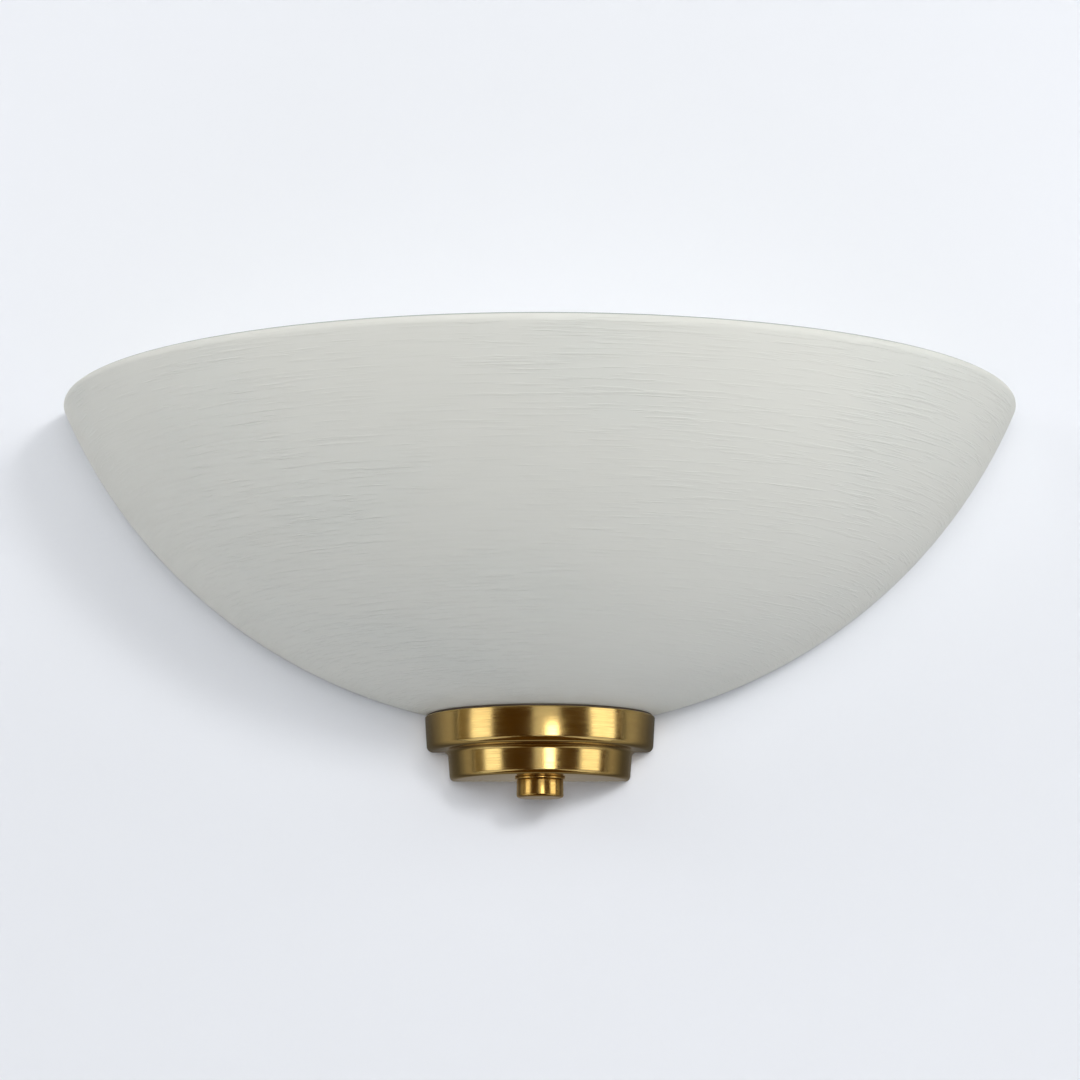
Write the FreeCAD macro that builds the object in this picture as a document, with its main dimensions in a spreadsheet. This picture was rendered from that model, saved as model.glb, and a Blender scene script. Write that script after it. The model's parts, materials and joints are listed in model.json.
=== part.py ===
import FreeCAD, Part
import math
import os
import re
import Sketcher

# Uplighter wall sconce: a half-bowl glass shade clamped by a stepped brass cup under a steel pan.
#
# X is right, +Y goes into the wall (the wall is the plane Y = 0) and +Z is up. The origin is the
# middle of the wall strap's two fixing slots. Everything is in millimetres.

Vector = FreeCAD.Vector
Rotation = FreeCAD.Rotation
Placement = FreeCAD.Placement

# two places nearer than this are one place
NEAR = 0.01

# shares of another size
SLOT_HALF_SHARE = 0.16
SLOT_FLOOR_SHARE = 0.45
NUT_ROUND_SHARE = 0.52
RUN_SHARE = 0.45
RIVET_FOOT_SHARE = 0.8
HOLDER_SCREW_HEAD_SHARE = 1.35
DOME_UNDERSIDE_SHARE = 2.5
BLOCK_SCREW_SHARES = (0.25, 0.75)
LOOSE_SHARE = 0.9

SIZES = {
    # glass shade
    "rim_radius": 152.5,
    "rim_height": 40,
    "glass_wall": 4,
    "profile_rise": 68.69,
    "profile_offset": 3.8,
    "glass_wall_gap": 1,
    "glass_hole_radius": 7,
    "glass_edge_round": 0.8,
    # stepped cup, its edge seal and the finial
    "cup_radius": 36.6,
    "cup_draft": 0.5,
    "cup_wall": 1.2,
    "upper_tier_height": 11.2,
    "upper_tier_round": 2.2,
    "lower_tier_radius": 29.25,
    "lower_tier_height": 9.2,
    "lower_tier_round": 1.6,
    "step_fillet": 1.4,
    "edge_seal_height": 0.5,
    "collar_radius": 7.9,
    "collar_height": 0.8,
    "finial_radius": 7.4,
    "finial_height": 5.7,
    "finial_round": 0.8,
    "finial_floor": 1.2,
    # stud that carries the shade
    "stud_out": 15,
    "stud_radius": 3,
    "stud_pitch": 1,
    "thread_clearance": 0.05,
    "hole_clearance": 0.3,
    "body_clearance": 0.05,
    "stud_end_room": 0.3,
    "stud_proud": 2.5,
    "nut_across_flats": 10,
    "nut_height": 3.2,
    "lock_washer_radius": 5.6,
    "lock_washer_height": 0.8,
    "plate_washer_radius": 12,
    "plate_washer_height": 1.2,
    "cushion_radius": 11,
    "cushion_spigot_radius": 6.8,
    # back pan
    "pan_half_width": 90,
    "pan_top": 24,
    "pan_depth": 24,
    "pan_wall": 1.2,
    "pan_glass_gap": 9,
    "pan_seat_half": 20,
    "pan_corner_radius": 10,
    "pan_edge_round": 3,
    # wall strap
    "strap_half_length": 60,
    "strap_leg_at": 40,
    "strap_width": 20,
    "strap_wall": 1.5,
    "strap_bend": 1.5,
    "slot_half_spacing": 30,
    "slot_half_length": 7,
    "slot_radius": 2.5,
    "cable_hole_radius": 7,
    # screws of the pan
    "pan_screw_at": 50,
    "pan_screw_radius": 2,
    "pan_screw_head_radius": 4,
    "pan_screw_head_height": 2.6,
    "pan_screw_length": 8,
    # lamp axis and bracket
    "lamp_left": 34,
    "lamp_out": 56,
    "lamp_glass_room": 17.14,
    "lamp_tilt": 45,
    "bracket_half_width": 11,
    "bracket_wall": 1.5,
    "bracket_leg_height": 26,
    "rivet_radius": 1.6,
    "rivet_head_radius": 3,
    "rivet_head_height": 1.1,
    "rivet_low": 9,
    "rivet_pitch": 11,
    # lampholder
    "nipple_radius": 5,
    "nipple_bore_radius": 4,
    "nipple_above": 7,
    "nipple_below": 6,
    "ring_nut_height": 2.5,
    "ring_nut_across_flats": 14,
    "boss_radius": 7.5,
    "boss_height": 5,
    "holder_radius": 13.5,
    "holder_wall": 1.3,
    "holder_shoulder": 12,
    "holder_height": 40,
    "holder_mouth_radius": 12.6,
    "grip_ring_height": 5,
    "grip_ring_proud": 0.7,
    "insert_radius": 11.6,
    "insert_height": 5,
    "insert_rim_height": 2,
    "shell_inner_radius": 7.1,
    "shell_wall": 0.4,
    "contact_level": 16,
    "contact_radius": 3,
    "contact_height": 0.6,
    "holder_screw_out": 9.6,
    "holder_screw_radius": 1.3,
    # lamp
    "lamp_length": 78,
    "globe_radius": 22.5,
    "cap_radius": 6.95,
    "cap_wall": 0.5,
    "cap_length": 25,
    "cap_tip_radius": 2.4,
    "cap_tip_height": 1.3,
    "cap_cone_height": 4,
    "lamp_seat_gap": 0.05,
    "globe_seat_drop": 10.5,
    "housing_foot_radius": 8.5,
    "housing_wall": 1.6,
    "housing_flare_sag": 1.3,
    "globe_wall": 1,
    # wiring
    "grommet_below": 13,
    "grommet_radius": 5.2,
    "grommet_groove_radius": 4,
    "grommet_bore_radius": 2.9,
    "grommet_flange": 1.6,
    "lead_radius": 1.1,
    "lead_beside": 1.3,
    "lead_bend_reach": 5,
    "lead_entry": 1.5,
    "block_left_side": 10,
    "block_width": 16,
    "block_length": 30,
    "block_depth": 12,
    "block_above_foot": 24.94,
    "block_tube_radius": 2.4,
    "block_tube_bore": 1.7,
    "block_tube_inset": 1,
    "block_way_pitch": 10,
    "block_screw_radius": 1.3,
    "block_valley_half": 2.3,
    "earth_screw_right": 46,
    "earth_above_foot": 20.94,
    "earth_screw_radius": 2,
    "earth_screw_head_radius": 3.6,
    "earth_screw_length": 4.5,
    "earth_tag_radius": 4.2,
    "earth_tag_height": 0.8,
    "tag_barrel_length": 6,
    "tag_barrel_lap": 0.6,
}

PLACES = {
    # glass profile: an arc about a centre that lies past the axis, through the middle of the lip
    "lip_radius": "glass_wall / 2",
    "lip_x": "rim_radius - lip_radius",
    "lip_z": "rim_height - lip_radius",
    "middle_radius": "sqrt(profile_rise^2 + (lip_x + profile_offset)^2)",
    "profile_radius": "middle_radius + lip_radius",
    "inner_radius": "profile_radius - glass_wall",
    "centre_z": "lip_z + profile_rise",
    "normal_x": "(lip_x + profile_offset) / middle_radius",
    "normal_z": "0 - sqrt(1 - normal_x^2)",
    "glass_foot_z": "centre_z - sqrt(profile_radius^2 - profile_offset^2)",
    "glass_floor_z": "centre_z - sqrt(inner_radius^2 - profile_offset^2)",
    # cup, collar, finial
    "seal_z": "centre_z - sqrt(profile_radius^2 - (cup_radius - cup_wall + profile_offset)^2)",
    "seal_outer_z": "centre_z - sqrt(profile_radius^2 - (cup_radius + profile_offset)^2)",
    "cup_top_z": "seal_z - edge_seal_height",
    "cup_step_z": "cup_top_z - upper_tier_height",
    "cup_foot_z": "cup_step_z - lower_tier_height",
    "upper_foot_radius": "cup_radius - cup_draft",
    "lower_foot_radius": "lower_tier_radius - cup_draft",
    "finial_top_z": "cup_foot_z - collar_height",
    "finial_foot_z": "finial_top_z - finial_height",
    "stud_bore_radius": "stud_radius + thread_clearance",
    "stud_hole_radius": "stud_radius + hole_clearance",
    # stack on the stud under the pan
    "pan_arc_radius": "inner_radius - pan_glass_gap",
    "pan_foot_z": "centre_z - sqrt(pan_arc_radius^2 - pan_seat_half^2)",
    "pan_inside_y": "pan_wall - pan_depth",
    "under_nut_z": "pan_foot_z - nut_height",
    "plate_washer_z": "under_nut_z - body_clearance - plate_washer_height",
    "over_nut_z": "pan_foot_z + pan_wall + lock_washer_height",
    "stud_top_z": "over_nut_z + nut_height + stud_proud",
    "stud_foot_z": "finial_foot_z + finial_floor + stud_end_room",
    # wall strap
    "strap_ear_y": "pan_inside_y + strap_wall",
    # lamp axis
    "lamp_sine": "sin(lamp_tilt * 1deg)",
    "lamp_cosine": "cos(lamp_tilt * 1deg)",
    "lamp_reach": "sqrt(lamp_left^2 + lamp_out^2) + profile_offset",
    "lamp_z": "centre_z - sqrt(inner_radius^2 - lamp_reach^2) + lamp_glass_room",
    "lug_to_pan": "lamp_out - pan_depth",
    "insert_z": "contact_level - contact_height - insert_height",
    "lamp_foot_z": "contact_level + lamp_seat_gap",
    "cap_top_z": "lamp_foot_z + cap_length",
    "cap_shell_z": "lamp_foot_z + cap_tip_height + cap_cone_height",
    "globe_centre_z": "lamp_foot_z + lamp_length - globe_radius",
    "housing_top_z": "globe_centre_z - globe_seat_drop",
    "housing_length": "housing_top_z - cap_top_z",
    "housing_top_radius": "sqrt(globe_radius^2 - (globe_centre_z - housing_top_z)^2)",
    "housing_chord": "sqrt((housing_top_radius - housing_foot_radius)^2 + housing_length^2)",
    "housing_flare_radius": "housing_chord^2 / (8 * housing_flare_sag) + housing_flare_sag / 2",
    # wiring
    "grommet_x": "0 - lamp_left - grommet_below * lamp_sine",
    "grommet_z": "lamp_z - grommet_below * lamp_cosine",
    "block_z": "pan_foot_z + block_above_foot",
    "earth_z": "pan_foot_z + earth_above_foot",
    "block_back_y": "pan_inside_y + block_depth",
    "block_way_y": "pan_inside_y + block_depth / 2",
}

document = FreeCAD.newDocument("uplighter_wall_sconce")
sizes = document.addObject("Spreadsheet::Sheet", "Sizes")
places = document.addObject("Spreadsheet::Sheet", "Places")
for row, (alias, number) in enumerate(SIZES.items(), start=1):
    sizes.set(f"A{row}", alias)
    sizes.set(f"B{row}", str(number))
    sizes.setAlias(f"B{row}", alias)
document.recompute()


def bound(expression):
    """The expression with each size name led by the sheet that holds it."""
    def with_sheet(match):
        word = match.group(0)
        if word in SIZES:
            return "Sizes." + word
        if word in PLACES:
            return "Places." + word
        return word
    return re.sub(r"[a-z][a-z_]+", with_sheet, str(expression))


for row, (alias, formula) in enumerate(PLACES.items(), start=1):
    places.set(f"A{row}", alias)
    places.set(f"B{row}", "=" + bound(formula).replace("Places.", ""))
    places.setAlias(f"B{row}", alias)
document.recompute()


def amount(expression):
    """The expression's value in millimetres."""
    return float(sizes.evalExpression(bound(expression)))


def point(x, y, z):
    """A vector from three expressions."""
    return Vector(amount(x), amount(y), amount(z))


# ---------------------------------------------------------------- drawing helpers

SUB_PARTS = []


def sub_part(thing, name):
    """Gives a finished object its node name and keeps it for the export."""
    thing.Label = name
    SUB_PARTS.append(thing)
    return thing


def place(thing, x="0", y="0", z="0", axis=None, angle="0"):
    """Puts an object at three expressions, turned about an axis."""
    if axis:
        thing.Placement = Placement(Vector(), Rotation(axis, 1))
        thing.setExpression("Placement.Rotation.Angle", bound(f"({angle}) * 1deg"))
    for letter, expression in (("x", x), ("y", y), ("z", z)):
        thing.setExpression("Placement.Base." + letter, bound(expression))
    return thing


def on_lamp_axis(thing):
    """Places a piece drawn about its own Z axis on the tilted lamp axis, from the bracket's lug up."""
    return place(thing, "0 - lamp_left", "0 - lamp_out", "lamp_z", Vector(0, 1, 0), "lamp_tilt")


def new_body(name):
    return document.addObject("PartDesign::Body", name)


def new_sketch(body, plane, name, offset="0"):
    """An empty sketch on one of the body's own origin planes, moved along the plane's normal."""
    sketch = body.newObject("Sketcher::SketchObject", name)
    origin_plane = [item for item in body.Origin.OriginFeatures if item.Role == plane][0]
    sketch.AttachmentSupport = [(origin_plane, "")]
    sketch.MapMode = "FlatFace"
    if offset != "0":
        sketch.setExpression("AttachmentOffset.Base.z", bound(offset))
    return sketch


def bind(sketch, kind, *where, expression):
    """Adds one dimension to a sketch and ties it to an expression."""
    index = sketch.addConstraint(Sketcher.Constraint(kind, *where, amount(expression)))
    sketch.setExpression(f"Constraints[{index}]", bound(expression))


def arc_between(start, end, radius):
    """The shorter arc from start to end: it turns left for a positive radius, right for a negative one."""
    chord = end - start
    rise = math.sqrt(max(radius * radius - chord.Length ** 2 / 4, 0))
    left = Vector(-chord.y, chord.x, 0).normalize()
    centre = start + chord * 0.5 + left * math.copysign(rise, radius)
    first, last = (start, end) if radius > 0 else (end, start)
    first_angle = math.atan2(first.y - centre.y, first.x - centre.x)
    last_angle = math.atan2(last.y - centre.y, last.x - centre.x)
    circle = Part.Circle(centre, Vector(0, 0, 1), abs(radius))
    return Part.ArcOfCircle(circle, first_angle, last_angle)


def draw_outline(sketch, corners):
    """Draws a closed outline. A corner is (x, y), or (x, y, radius, turn) where an arc leaves it."""
    count = len(corners)
    first = sketch.GeometryCount
    spots = [Vector(amount(corner[0]), amount(corner[1]), 0) for corner in corners]
    starts = []
    for index, corner in enumerate(corners):
        start = spots[index]
        end = spots[(index + 1) % count]
        if len(corner) == 4:
            turn = corner[3]
            sketch.addGeometry(arc_between(start, end, turn * amount(corner[2])), False)
            starts.append((1, 2) if turn > 0 else (2, 1))
        else:
            sketch.addGeometry(Part.LineSegment(start, end), False)
            starts.append((1, 2))
    for index, corner in enumerate(corners):
        here = first + index
        after = first + (index + 1) % count
        joint = (here, starts[index][1], after, starts[(index + 1) % count][0])
        sketch.addConstraint(Sketcher.Constraint("Coincident", *joint))
        bind(sketch, "DistanceX", -1, 1, here, starts[index][0], expression=corner[0])
        bind(sketch, "DistanceY", -1, 1, here, starts[index][0], expression=corner[1])
        if len(corner) == 4:
            bind(sketch, "Radius", here, expression=corner[2])


def draw_circle(sketch, x, y, radius):
    """Draws a circle whose centre and radius are tied to expressions."""
    index = sketch.addGeometry(Part.Circle(Vector(amount(x), amount(y), 0), Vector(0, 0, 1), amount(radius)))
    bind(sketch, "DistanceX", -1, 1, index, 3, expression=x)
    bind(sketch, "DistanceY", -1, 1, index, 3, expression=y)
    bind(sketch, "Radius", index, expression=radius)


def slot_outline(x, y, half_length, radius):
    """Corners of a slot along the sketch's X, its round ends each drawn as two quarter arcs."""
    near = f"({half_length}) - ({radius})"
    return [
        (f"{x} - ({near})", f"{y} - {radius}"),
        (f"{x} + ({near})", f"{y} - {radius}", radius, 1),
        (f"{x} + ({half_length})", y, radius, 1),
        (f"{x} + ({near})", f"{y} + {radius}"),
        (f"{x} - ({near})", f"{y} + {radius}", radius, 1),
        (f"{x} - ({half_length})", y, radius, 1),
    ]


def pad(body, sketch, name, length, reverse=False):
    feature = body.newObject("PartDesign::Pad", name)
    feature.Profile = sketch
    feature.setExpression("Length", bound(length))
    feature.Reversed = reverse
    document.recompute()
    return feature


def pocket_through(body, sketch, name):
    """Cuts the sketch right through the body, both ways."""
    feature = body.newObject("PartDesign::Pocket", name)
    feature.Profile = sketch
    feature.Type = "ThroughAll"
    feature.Midplane = True
    document.recompute()
    return feature


def revolve(body, sketch, name):
    feature = body.newObject("PartDesign::Revolution", name)
    feature.Profile = sketch
    feature.ReferenceAxis = (sketch, ["V_Axis"])
    feature.Angle = 360
    document.recompute()
    return feature


def turned_body(name, *outlines):
    """A body turned about its own Z axis from outlines given as (radius, height) corners."""
    body = new_body(name)
    for number, corners in enumerate(outlines, start=1):
        sketch = new_sketch(body, "XZ_Plane", f"{name}_profile_{number}")
        draw_outline(sketch, corners)
        revolve(body, sketch, f"{name}_turn_{number}")
    return body


def ring(name, outer, inner, low, high):
    """A plain ring about Z between two heights."""
    return turned_body(name, [(inner, low), (outer, low), (outer, high), (inner, high)])


def cut_at_wall(body, gap):
    """Cuts a turned body off flat, a gap short of the wall."""
    sketch = new_sketch(body, "XY_Plane", body.Name + "_wall_cut")
    reach = "2 * rim_radius"
    back = f"0 - ({gap})"
    corners = [(f"0 - {reach}", back), (reach, back), (reach, reach), (f"0 - {reach}", reach)]
    draw_outline(sketch, corners)
    return pocket_through(body, sketch, body.Name + "_wall_pocket")


def round_hole(body, name, x, y, radius, plane="XY_Plane"):
    sketch = new_sketch(body, plane, name)
    draw_circle(sketch, x, y, radius)
    return pocket_through(body, sketch, name + "_pocket")


def edges_where(feature, test):
    """Names of a feature's edges that pass a test, for a fillet."""
    names = []
    for number, edge in enumerate(feature.Shape.Edges, start=1):
        if test(edge):
            names.append(f"Edge{number}")
    return names


def fillet(body, name, feature, test, radius):
    names = edges_where(feature, test)
    rounded = body.newObject("PartDesign::Fillet", name)
    rounded.Base = (feature, names)
    rounded.setExpression("Radius", bound(radius))
    document.recompute()
    return rounded


def group(name, pieces):
    """Several separate solids that share one node."""
    compound = document.addObject("Part::Compound", name)
    compound.Links = pieces
    return sub_part(compound, name)


def hex_nut(name, across_flats, height, bore):
    """A hexagon nut about Z, its corners rounded off by a sphere."""
    prism = document.addObject("Part::Prism", name + "_hexagon")
    prism.Polygon = 6
    prism.setExpression("Circumradius", bound(f"({across_flats}) / sqrt(3)"))
    prism.setExpression("Height", bound(height))
    ball = document.addObject("Part::Sphere", name + "_corner_round")
    ball.setExpression("Radius", bound(f"sqrt((({across_flats}) * {NUT_ROUND_SHARE})^2 + ({height})^2 / 4)"))
    place(ball, z=f"({height}) / 2")
    blank = document.addObject("Part::Common", name + "_blank")
    blank.Base = prism
    blank.Tool = ball
    hole = document.addObject("Part::Cylinder", name + "_hole")
    hole.setExpression("Radius", bound(bore))
    hole.setExpression("Height", bound(height))
    nut = document.addObject("Part::Cut", name)
    nut.Base = blank
    nut.Tool = hole
    return nut


def headed_screw(name, radius, length, head_radius, head_height, slot=True):
    """A screw along Z: domed head above z = 0, plain shank below, with a driving slot in the head."""
    crown = f"(({head_radius})^2 + ({head_height})^2) / (2 * ({head_height}))"
    body = turned_body(name, [
        ("0", f"0 - ({length})"),
        (radius, f"0 - ({length})"),
        (radius, "0"),
        (head_radius, "0", crown, 1),
        ("0", head_height),
    ])
    if slot:
        slot_half = f"({head_height}) * {SLOT_HALF_SHARE}"
        sketch = new_sketch(body, "XZ_Plane", name + "_slot")
        floor = f"({head_height}) * {SLOT_FLOOR_SHARE}"
        draw_outline(sketch, [
            (f"0 - ({slot_half})", floor),
            (slot_half, floor),
            (slot_half, f"({head_height}) * 2"),
            (f"0 - ({slot_half})", f"({head_height}) * 2"),
        ])
        pocket_through(body, sketch, name + "_slot_pocket")
    return body


def lead_along(name, points, radius):
    """A round lead along straight runs joined by tangent arcs as large as the runs allow."""
    runs = [points[i + 1] - points[i] for i in range(len(points) - 1)]
    edges = []
    start = points[0]
    for i in range(1, len(points) - 1):
        before = runs[i - 1]
        after = runs[i]
        turn = before.getAngle(after)
        reach = min(RUN_SHARE * before.Length, RUN_SHARE * after.Length, amount("lead_bend_reach"))
        into = points[i] - Vector(before).normalize() * reach
        out = points[i] + Vector(after).normalize() * reach
        towards = (Vector(after).normalize() - Vector(before).normalize()).normalize()
        bend = reach / math.tan(turn / 2)
        middle = points[i] + towards * (bend / math.cos(turn / 2) - bend)
        edges.append(Part.LineSegment(start, into).toShape())
        edges.append(Part.Arc(into, middle, out).toShape())
        start = out
        print(f"{name}: bend radius {bend:.1f} at point {i}")
    edges.append(Part.LineSegment(start, points[-1]).toShape())
    path = Part.Wire(edges)
    circle = Part.Circle(points[0], runs[0], radius).toShape()
    tube = path.makePipeShell([Part.Wire([circle])], True, True)
    expected = math.pi * radius ** 2 * path.Length
    print(f"{name}: length {path.Length:.1f}, volume over section times length {tube.Volume / expected:.4f}")
    lead = document.addObject("Part::Feature", name)
    lead.Shape = tube
    return sub_part(lead, name)


# ---------------------------------------------------------------- shade: glass, cup, finial

def glass_bowl():
    """Half bowl of one even wall, its lip fully rounded, with one hole for the stud."""
    body = turned_body("glass_bowl", [
        ("0", "glass_foot_z", "profile_radius", 1),
        ("lip_x + lip_radius * normal_x", "lip_z + lip_radius * normal_z", "lip_radius", 1),
        ("lip_x - lip_radius * normal_z", "lip_z + lip_radius * normal_x", "lip_radius", 1),
        ("lip_x - lip_radius * normal_x", "lip_z - lip_radius * normal_z", "inner_radius", -1),
        ("0", "glass_floor_z"),
    ])
    cut = cut_at_wall(body, "glass_wall_gap")
    back_y = -amount("glass_wall_gap")
    fillet(body, "glass_back_edges", cut, lambda edge: flat_at_y(edge, back_y)
           and edge.Length > amount("rim_radius"), "glass_edge_round")
    round_hole(body, "glass_hole", "0", "0 - stud_out", "glass_hole_radius")
    return sub_part(body, "glass_bowl")


def gallery_cup():
    """Pressed brass cup of two tiers, half round and open at the wall, with a hole for the stud."""
    corner = "upper_tier_round - cup_wall"
    body = turned_body("gallery_cup", [
        ("0", "cup_foot_z"),
        ("lower_foot_radius - lower_tier_round", "cup_foot_z", "lower_tier_round", 1),
        ("lower_foot_radius", "cup_foot_z + lower_tier_round"),
        ("lower_tier_radius", "cup_step_z - step_fillet", "step_fillet", -1),
        ("lower_tier_radius + step_fillet", "cup_step_z"),
        ("upper_foot_radius - upper_tier_round", "cup_step_z", "upper_tier_round", 1),
        ("upper_foot_radius", "cup_step_z + upper_tier_round"),
        ("cup_radius", "cup_top_z"),
        ("cup_radius - cup_wall", "cup_top_z"),
        ("upper_foot_radius - cup_wall", "cup_step_z + upper_tier_round", corner, -1),
        ("upper_foot_radius - upper_tier_round", "cup_step_z + cup_wall"),
        ("lower_tier_radius - cup_wall", "cup_step_z + cup_wall"),
        ("lower_foot_radius - cup_wall", "cup_foot_z + cup_wall"),
        ("0", "cup_foot_z + cup_wall"),
    ])
    cut_at_wall(body, "glass_wall_gap / 2")
    round_hole(body, "cup_hole", "0", "0 - stud_out", "stud_hole_radius")
    return sub_part(body, "gallery_cup")


def cup_edge_seal():
    """Soft half ring on the cup's edge, its top following the glass."""
    body = turned_body("cup_edge_seal", [
        ("cup_radius - cup_wall", "cup_top_z"),
        ("cup_radius", "cup_top_z"),
        ("cup_radius", "seal_outer_z", "profile_radius", -1),
        ("cup_radius - cup_wall", "seal_z"),
    ])
    cut_at_wall(body, "glass_wall_gap / 2")
    return sub_part(body, "cup_edge_seal")


def on_stud(body, name):
    """Places a piece turned about Z on the stud's axis."""
    place(body, y="0 - stud_out")
    return sub_part(body, name)


def finial_collar():
    body = ring("finial_collar", "collar_radius", "stud_hole_radius", "finial_top_z", "cup_foot_z")
    return on_stud(body, "finial_collar")


def finial_knob():
    """Knob with a blind threaded bore, its outer corners rounded."""
    top = "finial_top_z - body_clearance"
    body = turned_body("finial_knob", [
        ("0", "finial_foot_z"),
        ("finial_radius - finial_round", "finial_foot_z", "finial_round", 1),
        ("finial_radius", "finial_foot_z + finial_round"),
        ("finial_radius", f"{top} - finial_round / 2", "finial_round / 2", 1),
        ("finial_radius - finial_round / 2", top),
        ("stud_bore_radius", top),
        ("stud_bore_radius", "finial_foot_z + finial_floor"),
        ("0", "finial_foot_z + finial_floor"),
    ])
    return on_stud(body, "finial_knob")


def shade_stud():
    """Threaded rod through the pan's floor, its ends chamfered by the thread's depth."""
    chamfer = "stud_pitch / 2"
    body = turned_body("shade_stud", [
        ("0", "stud_foot_z"),
        (f"stud_radius - {chamfer}", "stud_foot_z"),
        ("stud_radius", f"stud_foot_z + {chamfer}"),
        ("stud_radius", f"stud_top_z - {chamfer}"),
        (f"stud_radius - {chamfer}", "stud_top_z"),
        ("0", "stud_top_z"),
    ])
    return on_stud(body, "shade_stud")


def stud_nuts():
    """Two thin nuts, one each side of the pan's floor."""
    nuts = []
    for number, level in enumerate(("under_nut_z", "over_nut_z"), start=1):
        nut = hex_nut(f"stud_nut_{number}", "nut_across_flats", "nut_height", "stud_radius")
        place(nut, y="0 - stud_out", z=level)
        nuts.append(nut)
    return group("stud_nuts", nuts)


def stud_lock_washer():
    low = "pan_foot_z + pan_wall"
    body = ring("stud_lock_washer", "lock_washer_radius", "stud_hole_radius", low, "over_nut_z")
    return on_stud(body, "stud_lock_washer")


def glass_plate_washer():
    top = "plate_washer_z + plate_washer_height"
    body = ring("glass_plate_washer", "plate_washer_radius", "stud_hole_radius", "plate_washer_z", top)
    return on_stud(body, "glass_plate_washer")


def glass_cushion():
    """Rubber bush: a flange moulded to the glass inside the bowl, and a spigot down its hole."""
    flange = ring("cushion_flange", "cushion_radius", "stud_hole_radius", "glass_foot_z", "plate_washer_z")
    place(flange, y="0 - stud_out")
    bowl_inside = turned_body("cushion_seat", [
        ("0", "glass_floor_z", "inner_radius", 1),
        ("lip_x - lip_radius * normal_x", "lip_z - lip_radius * normal_z"),
        ("0", "lip_z - lip_radius * normal_z"),
    ])
    seated = document.addObject("Part::Common", "cushion_seated")
    seated.Base = flange
    seated.Tool = bowl_inside
    middle_z = "(plate_washer_z + glass_floor_z) / 2"
    spigot = ring("cushion_spigot", "cushion_spigot_radius", "stud_hole_radius", "glass_foot_z", middle_z)
    place(spigot, y="0 - stud_out")
    cushion = document.addObject("Part::Fuse", "glass_cushion")
    cushion.Base = seated
    cushion.Tool = spigot
    return sub_part(cushion, "glass_cushion")


# ---------------------------------------------------------------- pan and wall strap

def pan_outline(inset):
    """D-shaped outline of the pan: straight top and sides, and a foot that follows the glass."""
    side = f"(pan_half_width - ({inset}))"
    arc = f"(pan_arc_radius - ({inset}))"
    foot = f"(centre_z - sqrt({arc}^2 - pan_seat_half^2))"
    side_foot = f"(centre_z - sqrt({arc}^2 - {side}^2))"
    top = f"(pan_top - ({inset}))"
    return [
        ("0 - pan_seat_half", foot),
        ("pan_seat_half", foot, arc, 1),
        (side, side_foot),
        (side, top),
        (f"0 - {side}", top),
        (f"0 - {side}", side_foot, arc, 1),
    ]


def bracket_rivet_spots():
    """Where the bracket's rivets go through the pan, as (x, z) expressions."""
    spots = []
    for reach in ("rivet_low", "rivet_low + rivet_pitch"):
        x = f"0 - lamp_left + ({reach}) * lamp_sine"
        z = f"lamp_z + ({reach}) * lamp_cosine"
        spots.append((x, z))
    return spots


def back_pan():
    """Deep pressed pan, open at the wall, all its corners and front edges rounded."""
    body = new_body("back_pan")
    outline = new_sketch(body, "XZ_Plane", "pan_outline")
    draw_outline(outline, pan_outline("0"))
    block = pad(body, outline, "pan_block", "pan_depth")
    corners = fillet(body, "pan_corners", block, along_y, "pan_corner_radius")
    front_y = -amount("pan_depth")
    front_round = fillet(body, "pan_front_round", corners, lambda edge: flat_at_y(edge, front_y),
                         "pan_edge_round")
    open_back = [f"Face{number}" for number, face in enumerate(front_round.Shape.Faces, start=1)
                 if abs(face.CenterOfMass.y) < NEAR]
    shell = body.newObject("PartDesign::Thickness", "pan_shell")
    shell.Base = (front_round, open_back)
    shell.setExpression("Value", bound("pan_wall"))
    shell.Reversed = True
    shell.Join = "Arc"
    document.recompute()
    holes = new_sketch(body, "XZ_Plane", "pan_front_holes")
    for side in ("0 - pan_screw_at", "pan_screw_at"):
        draw_circle(holes, side, "0", "pan_screw_radius + hole_clearance")
    draw_circle(holes, "grommet_x", "grommet_z", "grommet_groove_radius")
    for x, z in bracket_rivet_spots():
        draw_circle(holes, x, z, "rivet_radius")
    draw_circle(holes, "earth_screw_right", "earth_z", "earth_screw_radius")
    draw_circle(holes, "block_left_side + block_width / 2", "block_z + block_way_pitch / 2",
                "block_screw_radius")
    pocket_through(body, holes, "pan_front_hole_pocket")
    stud_hole = new_sketch(body, "XY_Plane", "pan_stud_hole", "pan_foot_z")
    draw_circle(stud_hole, "0", "0 - stud_out", "stud_radius")
    cut = body.newObject("PartDesign::Pocket", "pan_stud_hole_pocket")
    cut.Profile = stud_hole
    cut.Reversed = True
    cut.setExpression("Length", bound("2 * pan_wall"))
    document.recompute()
    return sub_part(body, "back_pan")


def along_y(edge):
    """Whether an edge is straight and runs along Y."""
    box = edge.BoundBox
    return box.XLength < NEAR and box.ZLength < NEAR and box.YLength > 1


def flat_at_y(edge, y):
    """Whether an edge lies in the plane at this Y."""
    return abs(edge.BoundBox.YMin - y) < NEAR and abs(edge.BoundBox.YMax - y) < NEAR


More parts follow.
